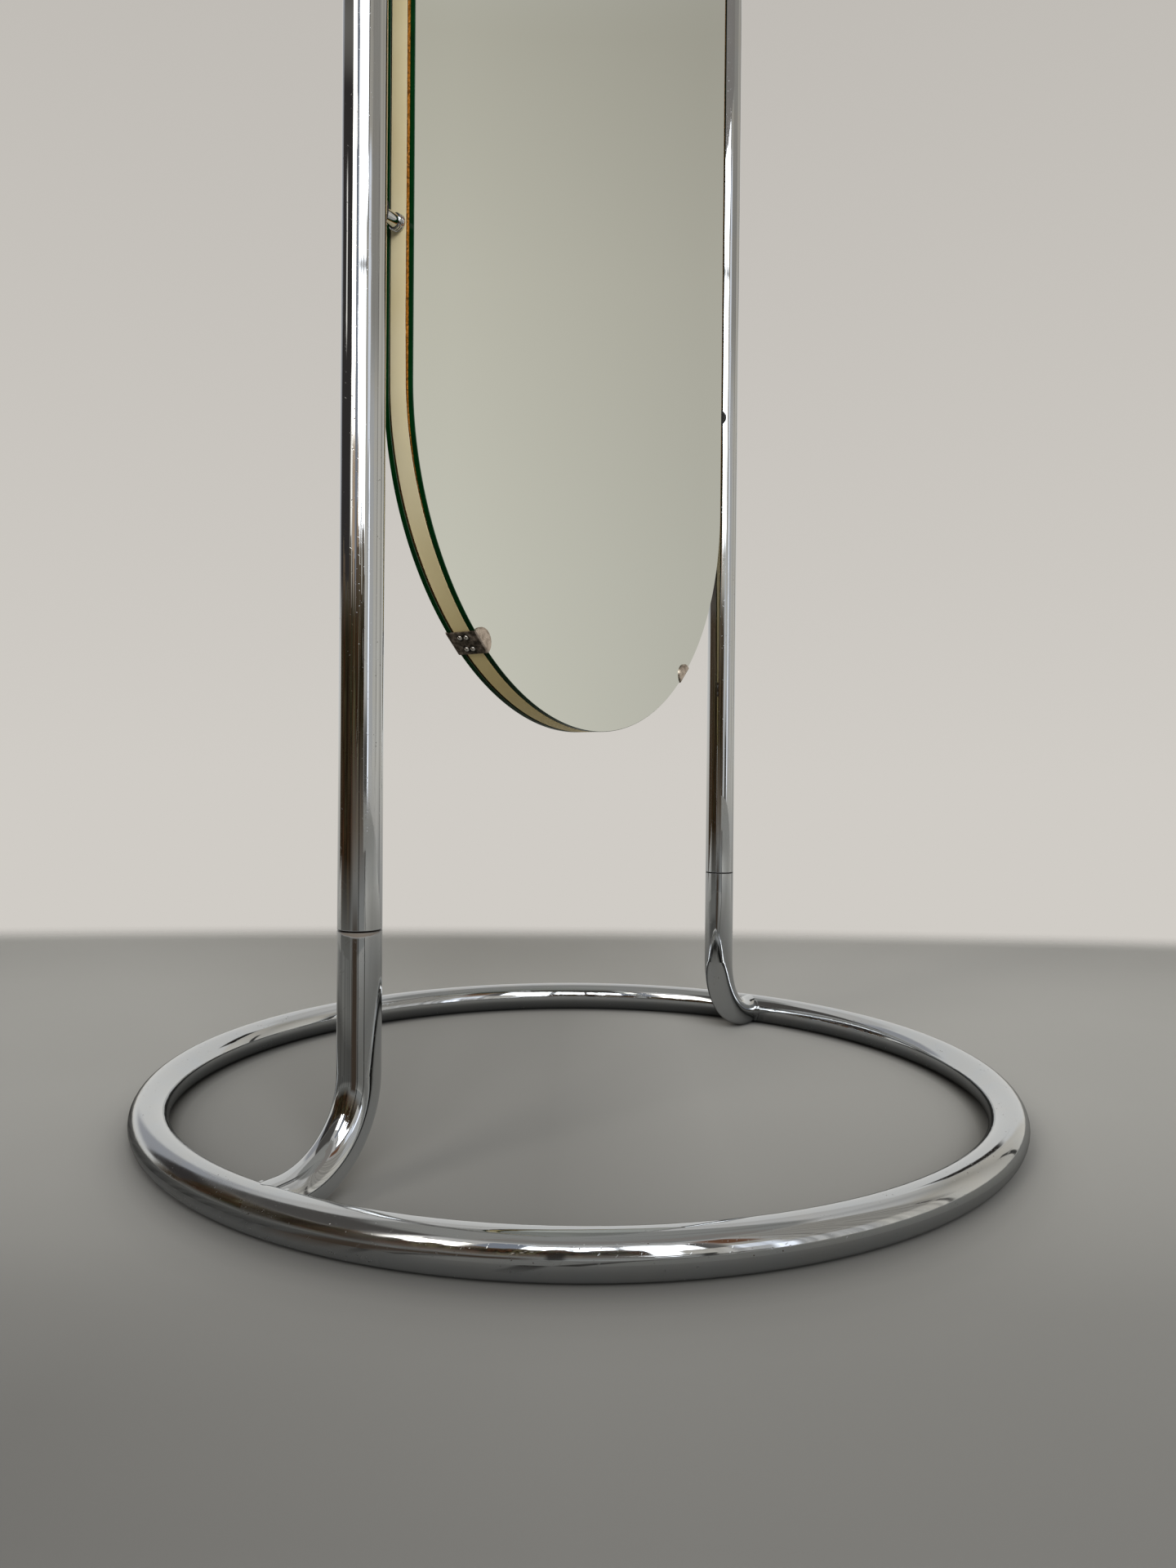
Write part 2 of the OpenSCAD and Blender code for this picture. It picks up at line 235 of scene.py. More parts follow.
for name, from_turn, to_turn, from_height, to_height, soft, colour, strength in CARDS:
    edges = [(bearing, from_turn - soft, from_turn + soft), (bearing, to_turn + soft, to_turn - soft),
             (height, from_height - soft, from_height + soft), (height, to_height + soft, to_height - soft)]
    mask = 1.0
    for value, outside, inside in edges:
        edge = add(sky, "ShaderNodeMapRange", {0: value, 1: float(outside), 2: float(inside)},
                   interpolation_type="SMOOTHSTEP")
        mask = add(sky, "ShaderNodeMath", {0: edge, 1: mask}, operation="MULTIPLY")
    tint = [c * strength for c in linear(colour)[:3]] + [1.0]
    if strength > 2.5:
        tint = add(sky, "ShaderNodeVectorMath", {0: tint[:3], 3: fold}, operation="SCALE").outputs[0]
    if strength == 0.0:
        tint = dark_lines.outputs[0]
    around = add(sky, "ShaderNodeMix", {0: mask, 6: around, 7: tint}, data_type="RGBA").outputs[2]
print(len(CARDS), "lights and cards")

# %% Uneven light, and the backdrop
# Everything beside and behind the camera varies a little from side to side, as a real wall does
beside = add(sky, "ShaderNodeMapRange", {0: bearing, 1: 205.0, 2: 215.0})
far_side = add(sky, "ShaderNodeMapRange", {0: bearing, 1: 278.0, 2: 270.0})
aside = add(sky, "ShaderNodeMath", {0: beside, 1: far_side}, operation="MULTIPLY")
shade = add(sky, "ShaderNodeMapRange", {0: fold, 1: 0.45, 2: 1.3, 3: 0.7, 4: 1.15})
varied = add(sky, "ShaderNodeVectorMath", {0: around, 3: shade}, operation="SCALE")
around = add(sky, "ShaderNodeMix", {0: aside, 6: around, 7: varied}, data_type="RGBA").outputs[2]

# The wall that the front pane shows falls off to one side, as a wall beside a light does
falling = add(sky, "ShaderNodeMapRange", {0: bearing, 1: 286.0, 2: 299.0, 3: 0.0, 4: 0.19})
rising = add(sky, "ShaderNodeMapRange", {0: bearing, 1: 314.0, 2: 302.0})
lost = add(sky, "ShaderNodeMath", {0: falling, 1: rising}, operation="MULTIPLY")
kept = add(sky, "ShaderNodeMath", {0: 1.0, 1: lost}, operation="SUBTRACT")
around = add(sky, "ShaderNodeVectorMath", {0: around, 3: kept}, operation="SCALE").outputs[0]

plain = add(sky, "ShaderNodeMapRange", {0: height, 1: 0.0, 2: 36.0, 3: 0.0, 4: 1.0})
backdrop = add(sky, "ShaderNodeMix", {0: plain, 6: linear("#D0CCC6"), 7: linear("#BFBBB5")},
               data_type="RGBA").outputs[2]
seen = add(sky, "ShaderNodeLightPath").outputs["Is Camera Ray"]
shown = add(sky, "ShaderNodeMix", {0: seen, 6: around, 7: backdrop}, data_type="RGBA").outputs[2]
light = add(sky, "ShaderNodeBackground", {"Color": shown, "Strength": 1.0})
add(sky, "ShaderNodeOutputWorld", {"Surface": light})
print("world:", len(sky.nodes), "nodes")

# %% [markdown]
# ## Floor
# A matt painted floor takes a soft shadow under the ring, deepened by painted shade. Any gloss on it would
# throw the lights back at low angles and turn the lower half of the ring pale. A round sheet is enough. Its
# middle lies behind the camera, so its far edge is nearly straight, and it thins out to the backdrop.
# Painted light brightens its far part, as light from the wall would, and painted shade darkens the part
# near the camera.

# %% Floor sheet
FLOOR_R = 6.0
FLOOR_BACK = 5.05
FADE_FROM = 5.77
FADE_TO = 5.94
RIM_STEPS = 180

floor_mesh = bpy.data.meshes.new("floor")
turns = [2 * math.pi * i / RIM_STEPS for i in range(RIM_STEPS)]
rim = [(FLOOR_R * math.cos(turn), FLOOR_R * math.sin(turn), 0) for turn in turns]
floor_mesh.from_pydata(rim, [], [list(range(RIM_STEPS))])
floor = bpy.data.objects.new("floor", floor_mesh)
floor.location = flat_forward * -FLOOR_BACK
scene.collection.objects.link(floor)
print("floor", 2 * FLOOR_R, "m across")

# %% Floor paint
paint, tree, shader = new_material("painted_floor", Roughness=0.9, Specular_IOR_Level=0.0)
place = add(tree, "ShaderNodeTexCoord").outputs["Object"]
reach = add(tree, "ShaderNodeVectorMath", {0: place}, operation="LENGTH").outputs["Value"]
thin = add(tree, "ShaderNodeMapRange", {0: reach, 1: FADE_FROM, 2: FADE_TO, 3: 0.0, 4: 1.0},
           interpolation_type="SMOOTHSTEP")
cloud = add(tree, "ShaderNodeTexNoise", {"Vector": place, "Scale": 2.4, "Detail": 3.0})
tone = add(tree, "ShaderNodeMix", {0: cloud, 6: linear("#A6A5A1"), 7: linear("#AEADA9")},
           data_type="RGBA")

# Painted light, paler towards the wall: metres from the ring's middle, away from the camera, and brightness
from_middle = add(tree, "ShaderNodeVectorMath", {0: place, 1: floor.location}, operation="ADD")
depth = add(tree, "ShaderNodeVectorMath", {0: from_middle, 1: flat_forward},
            operation="DOT_PRODUCT").outputs["Value"]
near_far = add(tree, "ShaderNodeMapRange", {0: depth, 1: -0.5, 2: 0.9, 3: 0.0, 4: 1.0})
paling = add(tree, "ShaderNodeValToRGB", {0: near_far})
fill_ramp(paling, [(0.0, 0.61), (0.14, 0.68), (0.36, 0.73), (0.60, 0.88), (1.0, 1.0)])
print("the paint fades out", FADE_FROM, "to", FADE_TO, "m from the sheet's middle")

# %% Floor as the eye sees it
# The eye sees more of it than chrome does. For the camera alone, a painted sheen brightens the paint seen
# at a flat angle, and painted shade darkens it inside the ring, most on the left, and towards the near left
# corner
flat_middle = add(tree, "ShaderNodeVectorMath", {0: from_middle}, operation="LENGTH").outputs["Value"]
off_ring = add(tree, "ShaderNodeMath", {0: flat_middle, 1: RING_R}, operation="SUBTRACT")
sideways = add(tree, "ShaderNodeVectorMath", {0: from_middle, 1: flat_right},
               operation="DOT_PRODUCT").outputs["Value"]
seen_share = add(tree, "ShaderNodeMapRange", {0: depth, 1: -2.0, 2: 0.9, 3: 0.0, 4: 1.0})
shine = add(tree, "ShaderNodeValToRGB", {0: seen_share})
fill_ramp(shine, [(0.0, 0.66), (0.345, 0.57), (0.528, 0.49), (0.58, 0.60), (0.603, 0.70), (0.626, 0.78),
                  (0.683, 0.90), (0.772, 0.98), (0.826, 1.0), (0.89, 0.97), (1.0, 0.94)])
within = add(tree, "ShaderNodeMath", {0: off_ring, 1: 0.0}, operation="LESS_THAN")
painted_shade_inside = add(tree, "ShaderNodeMapRange", {0: sideways, 1: -0.02, 2: 0.09, 3: 0.74, 4: 0.94})
inside = add(tree, "ShaderNodeMix", {0: within, 2: 1.06, 3: painted_shade_inside})
corner = add(tree, "ShaderNodeMapRange", {0: sideways, 1: -0.20, 2: 0.0, 3: 0.86, 4: 1.0})
close_by = add(tree, "ShaderNodeMapRange", {0: depth, 1: -0.25, 2: -0.40})
cornered = add(tree, "ShaderNodeMix", {0: close_by, 2: 1.0, 3: corner})
evened = add(tree, "ShaderNodeMath", {0: inside, 1: cornered}, operation="MULTIPLY")
shining = add(tree, "ShaderNodeVectorMath", {0: shine, 3: evened}, operation="SCALE")

# Away from the mirror the painted light and shade give way to an evenly pale paint, so that it stays plain
# in other views
away = add(tree, "ShaderNodeMapRange", {0: flat_middle, 1: 0.56, 2: 1.2, 3: 0.0, 4: 1.0},
           interpolation_type="SMOOTHSTEP")
plainer = add(tree, "ShaderNodeMix", {0: away, 6: shining, 7: (0.96, 0.96, 0.96, 1.0)},
              data_type="RGBA").outputs[2]
by_eye = add(tree, "ShaderNodeLightPath").outputs["Is Camera Ray"]
level = add(tree, "ShaderNodeMix", {0: by_eye, 6: paling, 7: plainer}, data_type="RGBA")
print("the camera stands", round((camera.location - floor.location).length, 2), "m from its middle")

# %% Shade beside the ring
# Shade where the ring lies on the floor: metres from the ring, and brightness
narrower = add(tree, "ShaderNodeMapRange", {0: depth, 1: -0.28, 2: -0.10, 3: 0.3, 4: 1.4})
spread = add(tree, "ShaderNodeMath", {0: by_eye, 1: narrower, 2: 1.0}, operation="MULTIPLY_ADD")
off_ring = add(tree, "ShaderNodeMath", {0: off_ring, 1: spread}, operation="MULTIPLY")
beside_ring = add(tree, "ShaderNodeMath", {0: off_ring}, operation="ABSOLUTE")
shade_share = add(tree, "ShaderNodeMapRange", {0: beside_ring, 1: 0.0, 2: 0.10, 3: 0.0, 4: 1.0})
dusk = add(tree, "ShaderNodeValToRGB", {0: shade_share})
fill_ramp(dusk, [(0.0, 0.25), (0.04, 0.32), (0.10, 0.50), (0.21, 0.63), (0.30, 0.76), (0.45, 0.89),
                 (0.70, 0.97), (1.0, 1.0)])
inner = add(tree, "ShaderNodeMapRange", {0: off_ring, 1: -0.045, 2: -0.010, 3: 1.0, 4: 0.5})
outer = add(tree, "ShaderNodeMath", {0: off_ring, 1: 0.0}, operation="GREATER_THAN")
deeper = add(tree, "ShaderNodeMath", {0: inner, 1: outer}, operation="MAXIMUM")
both_shades = add(tree, "ShaderNodeVectorMath", {0: level.outputs[2], 1: dusk}, operation="MULTIPLY")
shaded = add(tree, "ShaderNodeVectorMath", {0: both_shades, 3: deeper}, operation="SCALE")
print("shade round a ring of", RING_R, "m radius")

# %% Floor as chrome sees it
# Chrome sees the paint beside it steeply and finds little of the wall's light in it, but it sees the far
# floor flat, where even matt paint shines. So reflections alone get painted shade near the ring and a
# painted sheen farther out
steep = add(tree, "ShaderNodeLightPath").outputs["Is Glossy Ray"]
at_ring = add(tree, "ShaderNodeMapRange", {0: flat_middle, 1: 0.5, 2: 1.6, 3: -0.2, 4: 0.9})
dimmer = add(tree, "ShaderNodeMath", {0: steep, 1: at_ring, 2: 1.0}, operation="MULTIPLY_ADD")
dimmed = add(tree, "ShaderNodeVectorMath", {0: shaded, 3: dimmer}, operation="SCALE")
tone_with_painted_light = add(tree, "ShaderNodeVectorMath", {0: tone.outputs[2], 1: dimmed}, operation="MULTIPLY")
tree.links.new(tone_with_painted_light.outputs[0], shader.inputs["Base Color"])
clear = add(tree, "ShaderNodeBsdfTransparent")
both = add(tree, "ShaderNodeMixShader", {0: thin, 1: shader.outputs[0], 2: clear})
tree.links.new(both.outputs[0], tree.nodes["Material Output"].inputs["Surface"])
floor.data.materials.append(paint)
print("floor paint:", len(tree.nodes), "nodes")

# %% [markdown]
# ## A dark card behind the camera
# The world is endlessly far away, so each of its lights keeps its height on the ring and on both
# posts alike. In a real studio, a low dark card near the camera fills the ring's front up to the
# lights, and shrinks away as the eye climbs a post. So this one is a real sheet. Only reflections
# see it: it shades nothing and hides nothing in other views. Its top is uneven, its foot lies on
# the floor, and a second strip above it is the dim wall over the lights, which only the far post
# sees.

# %% Dark card sheet
CARD_R = 0.95
FOOT_FROM = 0.308
FOOT_Z = 0.001
UPPER_FROM = 1.42
UPPER_TO = 2.6

card_mesh = bpy.data.meshes.new("dark_card")
card_points = []
card_faces = []


def strip(from_turn, to_turn, low, high):
    """Adds a strip round the ring's middle. low and high give (radius, height) for a turn."""
    first = len(card_points)
    for turn in range(from_turn, to_turn + 1):
        for radius, z in (low(turn), high(turn)):
            card_points.append((radius * math.cos(math.radians(turn)),
                                radius * math.sin(math.radians(turn)), z))
        if turn > from_turn:
            i = first + 2 * (turn - from_turn)
            card_faces.append((i - 2, i, i + 1, i - 1))


def card_top(turn):
    """About half a metre high, uneven, and only a low step at the right."""
    if turn > 226:
        return CARD_R, 0.13
    return CARD_R, 0.50 + 0.16 * noise.noise(Vector((turn // 4 * 0.9, 3.3, 0.0)))


strip(127, 238, lambda turn: (CARD_R, 0.0), card_top)
strip(182, 282, lambda turn: (CARD_R, UPPER_FROM), lambda turn: (CARD_R, UPPER_TO))
strip(92, 262, lambda turn: (FOOT_FROM, FOOT_Z), lambda turn: (CARD_R, FOOT_Z))
card_mesh.from_pydata(card_points, [], card_faces)
card = bpy.data.objects.new("dark_card", card_mesh)
scene.collection.objects.link(card)
for rays in ("camera", "diffuse", "shadow", "transmission", "volume_scatter"):
    setattr(card, "visible_" + rays, False)
print("card", len(card_faces), "faces at", CARD_R, "m")

# %% Card stripes
STRIPES_PER_METRE = 7.0

felt, tree, shader = new_material("dark_felt", Base_Color=(0, 0, 0, 1), Roughness=1.0,
                                  Specular_IOR_Level=0.0, Emission_Strength=1.0)
place = add(tree, "ShaderNodeTexCoord").outputs["Object"]
upright = add(tree, "ShaderNodeVectorMath", {0: place, 1: (STRIPES_PER_METRE, STRIPES_PER_METRE, 1.0)},
              operation="MULTIPLY")
line_noise = add(tree, "ShaderNodeTexNoise", {"Vector": upright, "Scale": 1.0, "Detail": 4.0,
                                              "Roughness": 0.7})
stripe = add(tree, "ShaderNodeValToRGB", {0: line_noise.outputs["Fac"]})
fill_ramp(stripe, [(0.34, "#0B0604"), (0.40, "#33241A"), (0.44, "#0A0503"), (0.47, "#4A4530"),
                   (0.50, "#0E0906"), (0.535, "#553A27"), (0.56, "#120C08"), (0.60, "#6A6146"),
                   (0.64, "#1A130D"), (0.70, "#E8DCC8")])
here = add(tree, "ShaderNodeSeparateXYZ", {0: place})
card_x, card_y, up_card = here.outputs
paler = add(tree, "ShaderNodeMapRange", {0: up_card, 1: 0.40, 2: 0.58, 3: 0.0, 4: 0.7})
paler_top = add(tree, "ShaderNodeMix", {0: paler, 6: stripe, 7: linear("#8A7C6C")}, data_type="RGBA")
to_floor = add(tree, "ShaderNodeMapRange", {0: up_card, 1: 0.13, 2: 0.02, 3: 0.0, 4: 1.0})
grey_below = add(tree, "ShaderNodeMix", {0: to_floor, 6: paler_top.outputs[2], 7: linear("#6A6965")},
                 data_type="RGBA")
print("stripes about", round(1000 / STRIPES_PER_METRE), "mm apart")

# %% Low and high parts of the card
# Low down, the part straight behind the camera is paler than the left part
turned = add(tree, "ShaderNodeMath", {0: card_y, 1: card_x}, operation="ARCTAN2")
round_card = add(tree, "ShaderNodeMath", {0: turned, 1: 2 * math.pi, 2: 0.0}, operation="WRAP")
behind = add(tree, "ShaderNodeMapRange", {0: round_card, 1: math.radians(174), 2: math.radians(190)})
low_down = add(tree, "ShaderNodeMapRange", {0: up_card, 1: 0.30, 2: 0.08, 3: 0.0, 4: 0.75})
low_behind = add(tree, "ShaderNodeMath", {0: behind, 1: low_down}, operation="MULTIPLY")
greyer = add(tree, "ShaderNodeMapRange", {0: up_card, 1: 0.17, 2: 0.08, 3: 0.0, 4: 1.0})
low_tone = add(tree, "ShaderNodeMix", {0: greyer, 6: linear("#8E857A"), 7: linear("#969795")},
               data_type="RGBA")
low_part = add(tree, "ShaderNodeMix", {0: low_behind, 6: grey_below.outputs[2], 7: low_tone.outputs[2]},
               data_type="RGBA")
overhead = add(tree, "ShaderNodeMath", {0: up_card, 1: 1.0}, operation="GREATER_THAN")
above = add(tree, "ShaderNodeMix", {0: overhead, 6: low_part.outputs[2], 7: linear("#908B86")},
            data_type="RGBA")
print("card tones up its height")

# %% Foot of the card
# Painted shade of the floor for reflections: near black beside the ring, dark grey farther out, and fading
# at its ends
flat_card = add(tree, "ShaderNodeCombineXYZ", {0: card_x, 1: card_y})
out_card = add(tree, "ShaderNodeVectorMath", {0: flat_card}, operation="LENGTH").outputs["Value"]
farther = add(tree, "ShaderNodeMapRange", {0: out_card, 1: 0.31, 2: 0.70, 3: 0.0, 4: 1.0})
foot_tone = add(tree, "ShaderNodeValToRGB", {0: farther})
fill_ramp(foot_tone, [(0.0, "#3E3D3B"), (0.20, "#555451"), (0.62, "#555451"), (0.90, "#6E6D69"),
                      (1.0, "#72716D")])
print("the foot starts", round(1000 * (FOOT_FROM - RING_R - TUBE_R), 1), "mm off the tube")

# %% Lines from the left post's foot
# The left post throws upright lines back, so here they run straight out from its foot
from_post = add(tree, "ShaderNodeMath", {0: card_x, 1: POST_X}, operation="ADD")
about_turn = add(tree, "ShaderNodeMath", {0: card_y, 1: from_post}, operation="ARCTAN2")
about_post = add(tree, "ShaderNodeMath", {0: about_turn, 1: 2 * math.pi, 2: 0.0}, operation="WRAP")
grain = add(tree, "ShaderNodeTexNoise", {"W": about_post, "Scale": 11.0, "Detail": 3.0},
            noise_dimensions="1D")
grained = add(tree, "ShaderNodeMapRange", {0: grain.outputs["Fac"], 1: 0.35, 2: 0.65, 3: 0.72, 4: 1.28})
foot_lines = add(tree, "ShaderNodeVectorMath", {0: foot_tone, 3: grained}, operation="SCALE")
shade_from = add(tree, "ShaderNodeMapRange", {0: about_post, 1: math.radians(181), 2: math.radians(191)})
shade_to = add(tree, "ShaderNodeMapRange", {0: about_post, 1: math.radians(219), 2: math.radians(209)})
band = add(tree, "ShaderNodeMath", {0: shade_from, 1: shade_to}, operation="MULTIPLY")
foot = add(tree, "ShaderNodeMath", {0: up_card, 1: 0.01}, operation="LESS_THAN")
whole = add(tree, "ShaderNodeMix", {0: foot, 6: above.outputs[2], 7: foot_lines}, data_type="RGBA")
at_foot = add(tree, "ShaderNodeMapRange", {0: up_card, 1: 0.11, 2: 0.03})
shaded_band = add(tree, "ShaderNodeMath", {0: band, 1: at_foot}, operation="MULTIPLY")
whole = add(tree, "ShaderNodeMix", {0: shaded_band, 6: whole.outputs[2], 7: linear("#463C33")},
            data_type="RGBA")
dark_line = 0.0
for turn in (218, 250):
    off_turn = add(tree, "ShaderNodeMath", {0: about_post, 1: math.radians(turn)}, operation="SUBTRACT")
    off_turn = add(tree, "ShaderNodeMath", {0: off_turn}, operation="ABSOLUTE")
    dark_line = add(tree, "ShaderNodeMapRange", {0: off_turn, 1: 0.045, 2: 0.025, 3: dark_line, 4: 0.85})
low_line = add(tree, "ShaderNodeMapRange", {0: up_card, 1: 0.40, 2: 0.25})
dark_line = add(tree, "ShaderNodeMath", {0: dark_line, 1: low_line}, operation="MULTIPLY")
whole = add(tree, "ShaderNodeMix", {0: dark_line, 6: whole.outputs[2], 7: linear("#1E1A17")},
            data_type="RGBA")
tree.links.new(whole.outputs[2], shader.inputs["Emission Color"])
print("the post's foot is at x", -POST_X)

# %% Ends of the card
start_soft = add(tree, "ShaderNodeMapRange", {0: round_card, 1: math.radians(94), 2: math.radians(120)})
end_soft = add(tree, "ShaderNodeMapRange", {0: round_card, 1: math.radians(200), 2: math.radians(186)})
ends = add(tree, "ShaderNodeMath", {0: start_soft, 1: end_soft}, operation="MULTIPLY")
for lined in (band, dark_line):
    ends = add(tree, "ShaderNodeMath", {0: ends, 1: lined}, operation="MAXIMUM")
off_tube = add(tree, "ShaderNodeMapRange", {0: out_card, 1: 0.309, 2: 0.325})
ends = add(tree, "ShaderNodeMath", {0: ends, 1: off_tube}, operation="MULTIPLY")
not_foot = add(tree, "ShaderNodeMath", {0: 1.0, 1: foot}, operation="SUBTRACT")
shown = add(tree, "ShaderNodeMath", {0: ends, 1: not_foot}, operation="MAXIMUM")
clear = add(tree, "ShaderNodeBsdfTransparent")
faded = add(tree, "ShaderNodeMixShader", {0: shown, 1: clear, 2: shader.outputs[0]})
tree.links.new(faded.outputs[0], tree.nodes["Material Output"].inputs["Surface"])
card.data.materials.append(felt)
print("dark felt:", len(tree.nodes), "nodes")

# %% [markdown]
# ## A softbox
# The edge of the panel stands 15 mm from the post, in its shade. A soft lamp in front and to the
# left reaches it past the post, and gives the ring a soft shadow. Chrome would show the lamp as a
# hard bright disc, so reflections leave it out.

# %% Softbox
softbox = bpy.data.objects.new("softbox", bpy.data.lights.new("softbox", "AREA"))
softbox.data.shape = "DISK"
softbox.data.size = 0.9
softbox.data.energy = 16.0
softbox.location = (-1.35, -1.25, 1.15)
aim = Vector((-0.15, 0.0, 0.35)) - softbox.location
softbox.rotation_euler = aim.to_track_quat("-Z", "Y").to_euler()
softbox.visible_camera = False
softbox.visible_glossy = False
scene.collection.objects.link(softbox)
print("softbox", round(aim.length, 2), "m away")

# %% [markdown]
# ## Chrome
# The tube is drawn steel, bent, nickel plated and then chromed. New chrome is a mirror with a
# bluish cast. Fifty years on, it has a slight ripple from bending, fine scratches that run along the
# tube, and pits where the plating has lifted. The colour and the roughness do little here: the
# ripple and the scratches bend the reflections, and that is what tells the eye that it's metal.
# The scratches have to run along the tube wherever it goes. An unwrapped mesh could tell how it
# runs, but the route is known here, so the material works out where a point is on the tube: off its
# centre line, and along it.

# %% Places along the tube


def on_ring(tree, x, y, z):
    """The ring: distance out from the centre line, height over it, and length round it."""
    flat = add(tree, "ShaderNodeCombineXYZ", {0: x, 1: y})
    out = add(tree, "ShaderNodeVectorMath", {0: flat}, operation="LENGTH").outputs["Value"]
    across = add(tree, "ShaderNodeMath", {0: out, 1: RING_R}, operation="SUBTRACT")
    turn = add(tree, "ShaderNodeMath", {0: y, 1: x}, operation="ARCTAN2")
    along = add(tree, "ShaderNodeMath", {0: turn, 1: RING_R}, operation="MULTIPLY")
    return across, z, along


def on_bent_tube(tree, x, z, centre_x, centre_z, bend, way):
    """An upright tube that turns round a centre above it (way 1) or below it (way -1)."""
    out = add(tree, "ShaderNodeMath", {0: x}, operation="ABSOLUTE")
    if centre_x:
        away = add(tree, "ShaderNodeMath", {0: centre_x, 1: out}, operation="SUBTRACT")
        out = add(tree, "ShaderNodeMath", {0: away, 1: 0.0}, operation="MAXIMUM")
    rise = add(tree, "ShaderNodeMath", {0: z, 1: centre_z}, operation="SUBTRACT")
    past = add(tree, "ShaderNodeMath", {0: rise, 1: float(way)}, operation="MULTIPLY")
    bent = add(tree, "ShaderNodeMath", {0: past, 1: 0.0}, operation="MAXIMUM")
    flat = add(tree, "ShaderNodeCombineXYZ", {0: out, 1: bent})
    from_centre = add(tree, "ShaderNodeVectorMath", {0: flat}, operation="LENGTH").outputs["Value"]
    across = add(tree, "ShaderNodeMath", {0: from_centre, 1: bend}, operation="SUBTRACT")
    turn = add(tree, "ShaderNodeMath", {0: bent, 1: out}, operation="ARCTAN2")
    round_bend = add(tree, "ShaderNodeMath", {0: turn, 1: bend}, operation="MULTIPLY")
    straight = add(tree, "ShaderNodeMath", {0: past, 1: 0.0}, operation="MINIMUM")
    along = add(tree, "ShaderNodeMath", {0: straight, 1: round_bend}, operation="ADD")
    return across, along


def tube_place(tree, kind):
    """A vector in metres: two directions across the tube, and the third along it."""
    here = add(tree, "ShaderNodeSeparateXYZ", {0: add(tree, "ShaderNodeTexCoord").outputs["Object"]})
    x, y, z = here.outputs
    if kind == "ring":
        across, side, along = on_ring(tree, x, y, z)
    elif kind == "post":
        across, along = on_bent_tube(tree, x, z, 0, HIGH_Z, POST_X, 1)
        side = y
    elif kind == "stub":
        across, along = on_bent_tube(tree, x, z, BEND_X, BEND_Z, BEND_R, -1)
        side = y
    else:
        across, side, along = y, z, x
    return add(tree, "ShaderNodeCombineXYZ", {0: across, 1: side, 2: along})


print("tube routes: ring, post, stub, fitting")

# %% Scratches, scuffs and pits


def grooves_in(tree, place):
    """Long scratches about 1 mm apart and 60 mm long, and scuffs at odd angles."""
    # Real scratches are finer, and would vanish
    drawn = add(tree, "ShaderNodeVectorMath", {0: place, 1: (1000.0, 1000.0, 16.0)},
                operation="MULTIPLY")
    hair = add(tree, "ShaderNodeTexNoise", {"Vector": drawn, "Scale": 1.0, "Detail": 2.0})
    scratch = add(tree, "ShaderNodeMapRange", {0: hair.outputs["Fac"], 1: 0.66, 2: 0.78})

    # Scuffs come from things knocked against the tube
    turned = add(tree, "ShaderNodeVectorRotate", {"Vector": place, "Angle": 0.9},
                 rotation_type="X_AXIS")
    knocked = add(tree, "ShaderNodeVectorMath", {0: turned, 1: (1400.0, 1400.0, 70.0)},
                  operation="MULTIPLY")
    scuff_noise = add(tree, "ShaderNodeTexNoise", {"Vector": knocked, "Scale": 1.0, "Detail": 1.0})
    scuff = add(tree, "ShaderNodeMapRange", {0: scuff_noise.outputs["Fac"], 1: 0.72, 2: 0.80})
    return add(tree, "ShaderNodeMath", {0: scratch, 1: scuff}, operation="MAXIMUM")


def pits_in(tree, place, worn):
    """Pits half a millimetre wide on a 3 mm grid, where a slow noise is high. Returns both."""
    pit_place = add(tree, "ShaderNodeTexVoronoi", {"Vector": place, "Scale": 330.0})
    near = add(tree, "ShaderNodeMapRange", {0: pit_place.outputs["Distance"], 1: 0.16, 2: 0.08})
    stretched = add(tree, "ShaderNodeVectorMath", {0: place, 1: (110.0, 110.0, 22.0)},
                    operation="MULTIPLY")
    slow = add(tree, "ShaderNodeTexNoise", {"Vector": stretched, "Scale": 1.0, "Detail": 3.0})
    lifted = add(tree, "ShaderNodeMapRange", {0: slow.outputs["Fac"], 1: 0.60 - 0.03 * worn, 2: 0.66})
    pits = add(tree, "ShaderNodeMath", {0: near, 1: lifted}, operation="MULTIPLY")
    return pits, slow.outputs["Fac"]


print("wear: scratches, scuffs, pits")

# %% The joint in the tube


